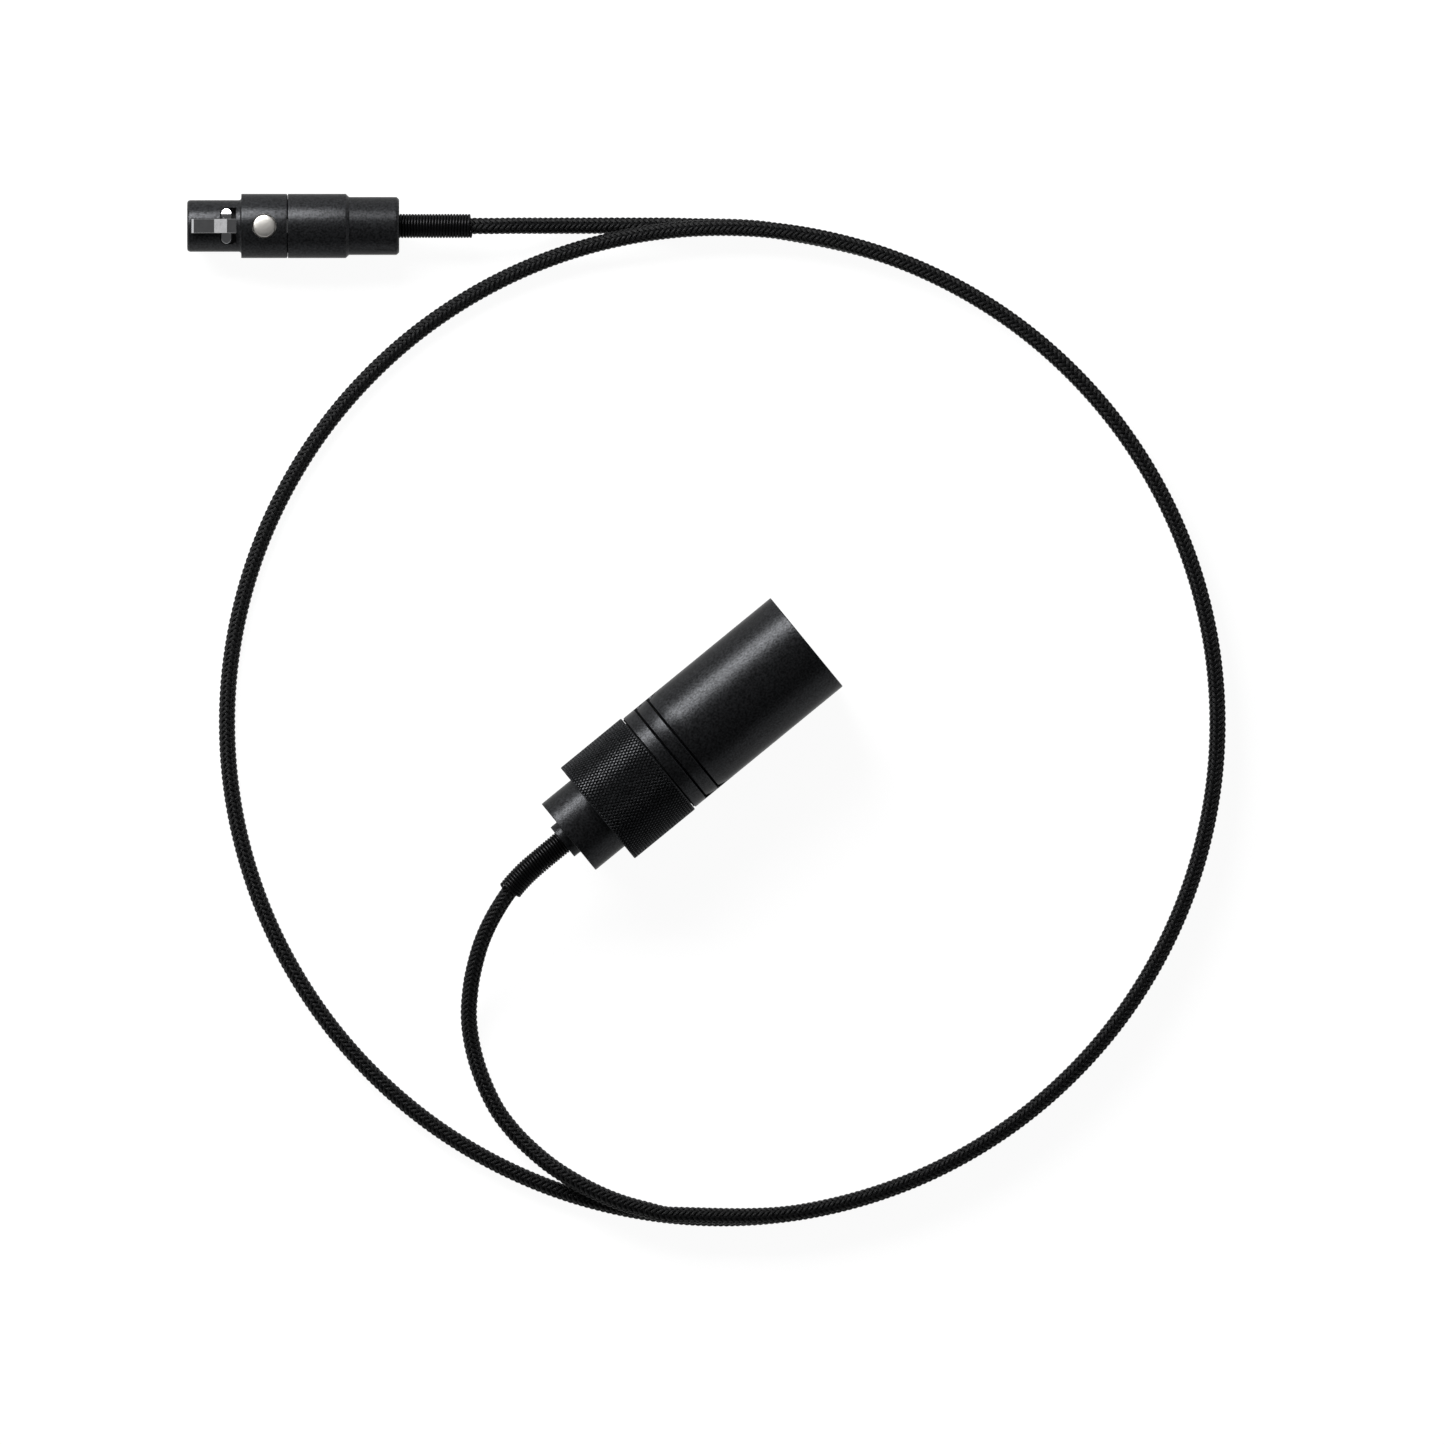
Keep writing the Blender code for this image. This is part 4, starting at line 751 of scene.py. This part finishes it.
def top_camera():
    """A level view of the whole coil from straight above."""
    data = bpy.data.cameras.new("camera")
    data.type = "ORTHO"
    data.ortho_scale = VIEW_WIDTH
    data.clip_end = 10.0
    camera = new_object("camera", data)
    camera.location = coil_point(*CAMERA_PLACE)
    camera.rotation_euler = (0.0, 0.0, COIL_TURN)
    bpy.context.scene.camera = camera


# ---------------------------------------------------------------- the springs


def strain_spring(name, line, start, finish, body, stands_for):
    """A close-wound spring round the cord, from inside the plug to its open end."""
    length = SPRING_VISIBLE + SPRING_SEATED
    turns = length / SPRING_PITCH
    places, along = even_line(line, 0.1 * MM)
    across, over = carried_frames(places)
    count = round(turns * SPRING_STEPS_PER_TURN)
    at = np.linspace(start + SPRING_WIRE / 2, start + length - SPRING_WIRE / 2, count)
    turn = -np.linspace(0.0, 2 * math.pi * turns, count)

    def read(rows):
        return np.stack([np.interp(at, along, rows[:, k]) for k in range(3)], axis=1)

    outward = unit(read(across) * np.cos(turn)[:, None] + read(over) * np.sin(turn)[:, None])
    middle = read(places) + outward * SPRING_MIDDLE
    ahead = unit(np.gradient(middle, axis=0))
    side = unit(np.cross(ahead, outward))
    rings = []
    for step in range(SPRING_SIDES):
        angle = 2 * math.pi * step / SPRING_SIDES
        rings.append(middle + (side * math.cos(angle) + outward * math.sin(angle)) * (SPRING_WIRE / 2))
    mesh = swept_mesh(name, np.stack(rings, axis=1))
    add_piece(name, mesh, finish, "spring_steel", body, stands_for)


# ---------------------------------------------------------------- the full-size plug


def shell_corners():
    """The shell's outline in millimetres, with the grip's steps left for later."""
    return [
        (8.1, 0.2, 0.12),
        (9.5, 0.2, 0.18),
        (9.5, -31.44, 0.06),
        (9.2, -31.56, 0.0),
        (9.36, -31.69, 0.0),
        (8.6, -31.69, 0.0),
        (8.6, -37.96, 0.3),
        (7.8, -37.96, 0.0),
        (7.8, -16.6, 0.0),
        (7.1, -16.6, 0.1),
        (7.1, -15.6, 0.1),
        (8.1, -15.6, 0.0),
    ]


GRIP_WALLS = [XLR_SHELL_REAR + GRIP_FIRST + step * GRIP_PITCH for step in (0, 1)]
GRIP_PLACES = (-GRIP_EDGE, 0.0, GRIP_VALLEY, GRIP_STEEP, GRIP_MIDDLE, GRIP_RAMP)
GRIP_DEPTHS = (0.0, GRIP_EDGE_DEPTH, GRIP_DEPTH, GRIP_RAMP_DEPTH, GRIP_MIDDLE_DEPTH, 0.0)


def grip_depth(z):
    """How deep the grip's sawtooth lies at a station along the shell, on the turned-down quarters."""
    for wall in GRIP_WALLS:
        if -GRIP_EDGE < z - wall < GRIP_RAMP:
            return float(np.interp(z - wall, GRIP_PLACES, GRIP_DEPTHS))
    return 0.0


def full_size_shell(place, finish):
    """The shell, with two ramped grip steps above and below and a window for the latch of a socket."""
    outline = rounded(shell_corners(), 5)
    stations = [(step - 25.0) * MM for step in range(24)]
    for wall in GRIP_WALLS:
        stations += [wall + step for step in (*GRIP_PLACES, 0.8 * MM, 1.75 * MM)]
    outer = [i for i, (radius, z) in enumerate(outline) if radius > XLR_RADIUS - 0.001 * MM]
    split = max(i for i in outer if outline[i][1] > -1 * MM)
    side = [(XLR_RADIUS, z) for z in sorted(stations, reverse=True)]
    outline = outline[: split + 1] + side + outline[split + 1 :]
    shape = turned_shape(outline, SHELL_SIDES)
    for vert in shape.verts:
        radius = math.hypot(vert.co.x, vert.co.y)
        if radius < XLR_RADIUS - 0.01 * MM:
            continue
        angle = abs(math.degrees(math.atan2(vert.co.y, abs(vert.co.x))))
        if angle <= GRIP_HALF_ANGLE:
            depth = grip_depth(vert.co.z)
            vert.co.x *= (radius - depth) / radius
            vert.co.y *= (radius - depth) / radius
    mesh = finished_mesh("full_size_shell", shape)
    window = box_shape((7.0, -1.7, -9.0), (10.0, 1.7, -4.0))
    mesh = cut_mesh("full_size_shell", mesh, [window], place, SHARP_ANGLE)
    add_piece("full_size_shell", mesh, finish, "xlr_black_metal", "cable", "xlr_shell")


def knurl_height(angle, z):
    """How high the knurl stands at a place, from nothing in its grooves to one on its diamonds."""
    around = KNURL_AROUND * angle / (2 * math.pi)
    down = (KNURL_FRONT - z) / KNURL_PITCH
    return min(1.0, 4 * min(abs((around + way * down + 0.5) % 1.0 - 0.5) for way in (1, -1)))


def knurled_ring(place, finish):
    """The clamping ring, its grip cut with two families of V grooves that leave small diamonds."""
    corners = [
        (9.75, -31.75, 0.2),
        (9.75, -44.76, 0.2),
        (7.4, -44.76, 0.1),
        (7.4, -43.26, 0.0),
        (8.9, -43.26, 0.0),
        (8.9, -31.75, 0.0),
    ]
    outline = rounded(corners)
    front = ROUNDING_STEPS + 1
    stations = [(XLR_RING_RADIUS, KNURL_FRONT - k * KNURL_PITCH / 4) for k in range(KNURL_ROWS + 1)]
    shape = turned_shape(outline[:front] + stations + outline[front:], 4 * KNURL_AROUND)
    for vert in shape.verts:
        radius = math.hypot(vert.co.x, vert.co.y)
        height = knurl_height(math.atan2(vert.co.y, vert.co.x), vert.co.z)
        cut = XLR_RING_RADIUS - KNURL_DEPTH * (1 - height)
        if radius > cut:
            vert.co.x *= cut / radius
            vert.co.y *= cut / radius
    for face in list(shape.faces):
        if face.calc_center_median().to_2d().length > XLR_RING_RADIUS - 2 * KNURL_DEPTH:
            split_along_groove(shape, face)
    mesh = finished_mesh("knurled_ring", shape, place)
    add_piece("knurled_ring", mesh, finish, "xlr_black_metal", "ring", "xlr_knurled_ring")


def split_along_groove(shape, face):
    """Cuts a face in two along the diagonal that runs level, or else the lower one."""
    a, b, c, d = face.verts
    heights = [vert.co.to_2d().length for vert in (a, b, c, d)]
    steps = [round(abs(heights[k] - heights[k + 2]) / (0.001 * MM)) for k in (0, 1)]
    first = (steps[0], heights[0] + heights[2]) <= (steps[1], heights[1] + heights[3])
    bmesh.utils.face_split(face, a if first else b, c if first else d)


def end_cap(place, finish):
    """The cap behind the ring, with the neck that the spring sits in."""
    corners = [
        (7.1, -42.36, 0.0),
        (7.1, -51.0, 0.12),
        (3.15, -51.0, 0.15),
        (3.15, -52.33, 0.12),
        (2.33, -52.33, 0.1),
        (2.33, -50.83, 0.0),
        (1.63, -50.83, 0.0),
        (1.63, -49.83, 0.0),
        (6.3, -49.83, 0.0),
        (6.3, -40.06, 0.0),
        (8.6, -40.06, 0.0),
        (8.6, -42.06, 0.0),
        (7.1, -42.06, 0.0),
    ]
    mesh = finished_mesh("end_cap", turned_shape(rounded(corners), CAP_SIDES), place)
    add_piece("end_cap", mesh, finish, "xlr_black_metal", "cable", "xlr_end_cap")


# ---------------------------------------------------------------- the miniature plug


def button_place():
    """The button's own frame in the miniature plug's, with Z out of its well."""
    return Matrix.Translation((0, 0, BUTTON_PLACE)) @ Matrix.Rotation(math.radians(90), 4, "Y")


def mini_body(place, finish):
    """The nose and collar, with the latch's slot and window and the button's well."""
    corners = [
        (3.7, 0.0, 0.1),
        (4.3, 0.0, 0.6),
        (4.3, -9.0, 0.45),
        (5.35, -9.0, 0.12),
        (5.35, -16.6, 0.08),
        (5.0, -16.67, 0.0),
        (5.22, -16.73, 0.0),
        (4.45, -16.73, 0.0),
        (4.45, -20.56, 0.2),
        (3.7, -20.56, 0.0),
    ]
    mesh = finished_mesh("mini_body", turned_shape(rounded(corners, 5), MINI_SIDES))
    well = button_place()
    across = Matrix.Translation((3.2 * MM, 0, -19.2 * MM)) @ Matrix.Rotation(math.radians(90), 4, "X")
    shapes = [
        box_shape((2.6, -1.25, -8.2), (10.7, 1.25, -0.58)),
        box_shape((2.6, -1.42, -20.9), (4.0, 1.42, -8.0)),
        box_shape((2.6, -1.42, -20.9), (10.7, 1.42, -16.55)),
        window_shape(),
        rod_shape(2.03, 2.6, 10.7, BUTTON_SIDES, well),
        rod_shape(2.3, 2.6, 4.65, BUTTON_SIDES, well),
        rod_shape(0.5, -10.7, 10.7, 32, across),
    ]
    mesh = cut_mesh("mini_body", mesh, shapes, place, 28)
    add_piece("mini_body", mesh, finish, "mini_black_metal", "cable", "mini_front_shell")


def window_shape():
    """The opening round the latch's cross arms: rounded at the front, square at the back."""
    shape = bmesh.new()
    front = bmesh.ops.create_circle(shape, cap_ends=True, segments=48, radius=0.95 * MM)
    for vert in front["verts"]:
        vert.co.y += ARM_REACH if vert.co.y > 0 else -ARM_REACH
        if vert.co.x < 0:
            vert.co.x = -1.75 * MM
            vert.co.y = math.copysign(3.05 * MM, vert.co.y)
    bmesh.ops.remove_doubles(shape, verts=shape.verts, dist=0.001 * MM)
    extrude(shape, (0, 0, 9 * MM))
    stand_up(shape, 1.9 * MM, -6.42 * MM)
    return shape


def latch_bar():
    """The latch's bent bar, with bevelled edges."""
    outline = [
        (-0.72, 4.05),
        (-0.72, 4.47),
        (-1.1, 4.85),
        (-4.5, 4.85),
        (-6.66, 4.32),
        (-6.72, 3.84),
        (-8.24, 3.8),
        (-18.4, 3.8),
        (-18.75, 4.05),
        (-19.45, 4.05),
        (-20.05, 3.5),
        (-20.05, 2.85),
        (-19.5, 2.32),
        (-18.8, 2.35),
        (-18.3, 3.2),
        (-8.24, 3.2),
        (-6.72, 3.24),
        (-4.5, 4.05),
    ]
    shape = bmesh.new()
    shape.faces.new([shape.verts.new((x * MM, -LATCH_HALF_WIDTH, z * MM)) for z, x in outline])
    extrude(shape, (0, 2 * LATCH_HALF_WIDTH, 0))
    edges = [edge for edge in shape.edges if edge.calc_face_angle(0) > math.radians(35)]
    bmesh.ops.bevel(shape, geom=edges, offset=LATCH_BEVEL, segments=1, affect="EDGES", material=-1)
    return finished_mesh("bar", shape, None, 8)


def latch_arm():
    """The latch's cross arm, with rounded and folded-down ends."""
    shape = bmesh.new()
    bmesh.ops.create_circle(shape, cap_ends=True, segments=40, radius=ARM_RADIUS)
    for vert in shape.verts:
        if abs(vert.co.y) < 1e-7:
            continue
        vert.co.y += math.copysign(ARM_REACH, vert.co.y)
    for y in (-2.05, -1.9, -1.2, 1.2, 1.9, 2.05):
        parts = [*shape.verts, *shape.edges, *shape.faces]
        bmesh.ops.bisect_plane(shape, geom=parts, plane_co=(0, y * MM, 0), plane_no=(0, 1, 0))
    extrude(shape, (0, 0, -ARM_THICKNESS))
    rim = [edge for edge in shape.edges if edge.calc_face_angle(0) > math.radians(60)]
    bmesh.ops.bevel(shape, geom=rim, offset=ARM_BEVEL, segments=2, profile=0.5, affect="EDGES", material=-1)
    for vert in shape.verts:
        reach = abs(vert.co.y)
        vert.co.z -= ARM_SLOPE * max(0.0, reach - LATCH_HALF_WIDTH)
        vert.co.z -= ARM_END_SLOPE * max(0.0, reach - ARM_REACH)
    stand_up(shape, 3.8 * MM, -6.52 * MM)
    return finished_mesh("arm", shape, None, 25)


def latch_lever(place, finish):
    """The latch: its bar and its cross arm as one piece."""
    both = bmesh.new()
    both.from_mesh(latch_bar())
    both.from_mesh(latch_arm())
    mesh = finished_mesh("latch_lever", both, place, 8)
    add_piece("latch_lever", mesh, finish, "latch_chrome", "latch", "mini_latch_lever")


def push_button(place, finish):
    """The domed button in its well."""
    corners = [
        (0.0, 5.52, 0.0),
        (0.6, 5.5, 0.0),
        (1.15, 5.44, 0.0),
        (1.55, 5.36, 0.0),
        (1.83, 5.24, 0.12),
        (1.83, 4.3, 0.0),
        (2.15, 4.3, 0.0),
        (2.15, 4.1, 0.0),
        (0.0, 4.1, 0.0),
    ]
    shape = turned_shape(rounded(corners), BUTTON_SIDES)
    mesh = finished_mesh("push_button", shape, place @ button_place())
    add_piece("push_button", mesh, finish, "button_satin", "button", "mini_push_button")


def mini_tail(place, finish):
    """The back shell, stepped down behind, with the seat that the spring sits in."""
    corners = [
        (4.75, -16.76, 0.0),
        (5.35, -16.76, 0.08),
        (5.35, -26.4, 0.08),
        (4.825, -26.925, 0.1),
        (4.825, -34.85, 0.15),
        (4.4, -35.28, 0.12),
        (2.33, -35.28, 0.1),
        (2.33, -33.78, 0.0),
        (1.63, -33.78, 0.0),
        (1.63, -32.98, 0.0),
        (3.925, -32.98, 0.0),
        (3.925, -21.16, 0.0),
        (4.75, -21.16, 0.0),
    ]
    mesh = finished_mesh("mini_tail", turned_shape(rounded(corners), MINI_SIDES), place)
    add_piece("mini_tail", mesh, finish, "mini_black_metal", "tail", "mini_backshell")


# ---------------------------------------------------------------- the whole


def dress(node, finish):
    """A finish for a solid that stays as it is."""
    piece = frame["nodes"][node]
    piece.data.materials.clear()
    piece.data.materials.append(finish)


GRAIN = grain_group()
top_camera()
studio()
world_light()
soft_light("main_light", (-320, 349, 275), (-320, 0, 0), 520, 200, 14.0)
soft_light("overhead_card", (187, 83, 530), (-94, 83, 0), 110, 110, 0.65)

xlr = xlr_place()
mini = mini_place()
black_shell = blasted_metal("black_shell", (0.0165, 0.017, 0.0183), 0.33, 0.6, 0.011 * MM)
black_small = blasted_metal("black_small_shell", (0.0175, 0.018, 0.0193), 0.34, 0.6, 0.012 * MM)
black_wire = blasted_metal("black_spring_wire", (0.005, 0.005, 0.0054), 0.32, 0.1, 0.001 * MM)
plastic = moulded_plastic("black_moulding", (0.02, 0.02, 0.021), 0.45)
core_black = moulded_plastic("cord_core_black", (0.006, 0.006, 0.0065), 0.8)
chrome = plain_metal("latch_plating", (0.55, 0.55, 0.56), 0.14)
satin = plain_metal("button_satin_nickel", (0.58, 0.56, 0.53), 0.42)
gold = plain_metal("gold_plating", (0.83, 0.62, 0.27), 0.2)
steel = plain_metal("satin_steel_strip", (0.6, 0.58, 0.55), 0.3)
fibre = moulded_plastic("grey_fibre_washer", (0.25, 0.25, 0.24), 0.8)
red_cover = moulded_plastic("red_cover", (0.6, 0.06, 0.05), 0.5)
white_cover = moulded_plastic("white_cover", (0.7, 0.7, 0.67), 0.5)
copper = plain_metal("copper_strand", (0.7, 0.45, 0.25), 0.35)
braid = yarn()

cord_line = braided_cord(braid, core_black)
mini_start = MINI_CABLE_FACE - MINI_REAR - SPRING_SEATED
xlr_start = XLR_CABLE_FACE - XLR_NECK_REAR - SPRING_SEATED
strain_spring("mini_spring", cord_line, mini_start, black_wire, "tail_spring", "mini_strain_spring")
strain_spring("full_size_spring", cord_line[::-1], xlr_start, black_wire, "cable", "xlr_strain_spring")
full_size_shell(xlr, black_shell)
knurled_ring(xlr, black_shell)
end_cap(xlr, black_shell)
mini_body(mini, black_small)
mini_tail(mini, black_small)
latch_lever(mini, chrome)
push_button(mini, satin)

dress("xlr_insert", plastic)
dress("xlr_chuck", plastic)
dress("mini_insert", plastic)
dress("mini_cable_clamp", plastic)
dress("xlr_ground_clip", steel)
dress("mini_latch_pin", steel)
dress("mini_latch_spring", steel)
dress("xlr_slip_washer", fibre)
for number in (1, 2, 3):
    dress(f"xlr_pin_{number}", gold)
    dress(f"mini_socket_{number}", gold)
for prefix in ("xlr", "mini"):
    dress(f"{prefix}_wire_1", red_cover)
    dress(f"{prefix}_wire_2", white_cover)
    dress(f"{prefix}_wire_3", copper)

bpy.context.scene.view_settings.view_transform = "Standard"
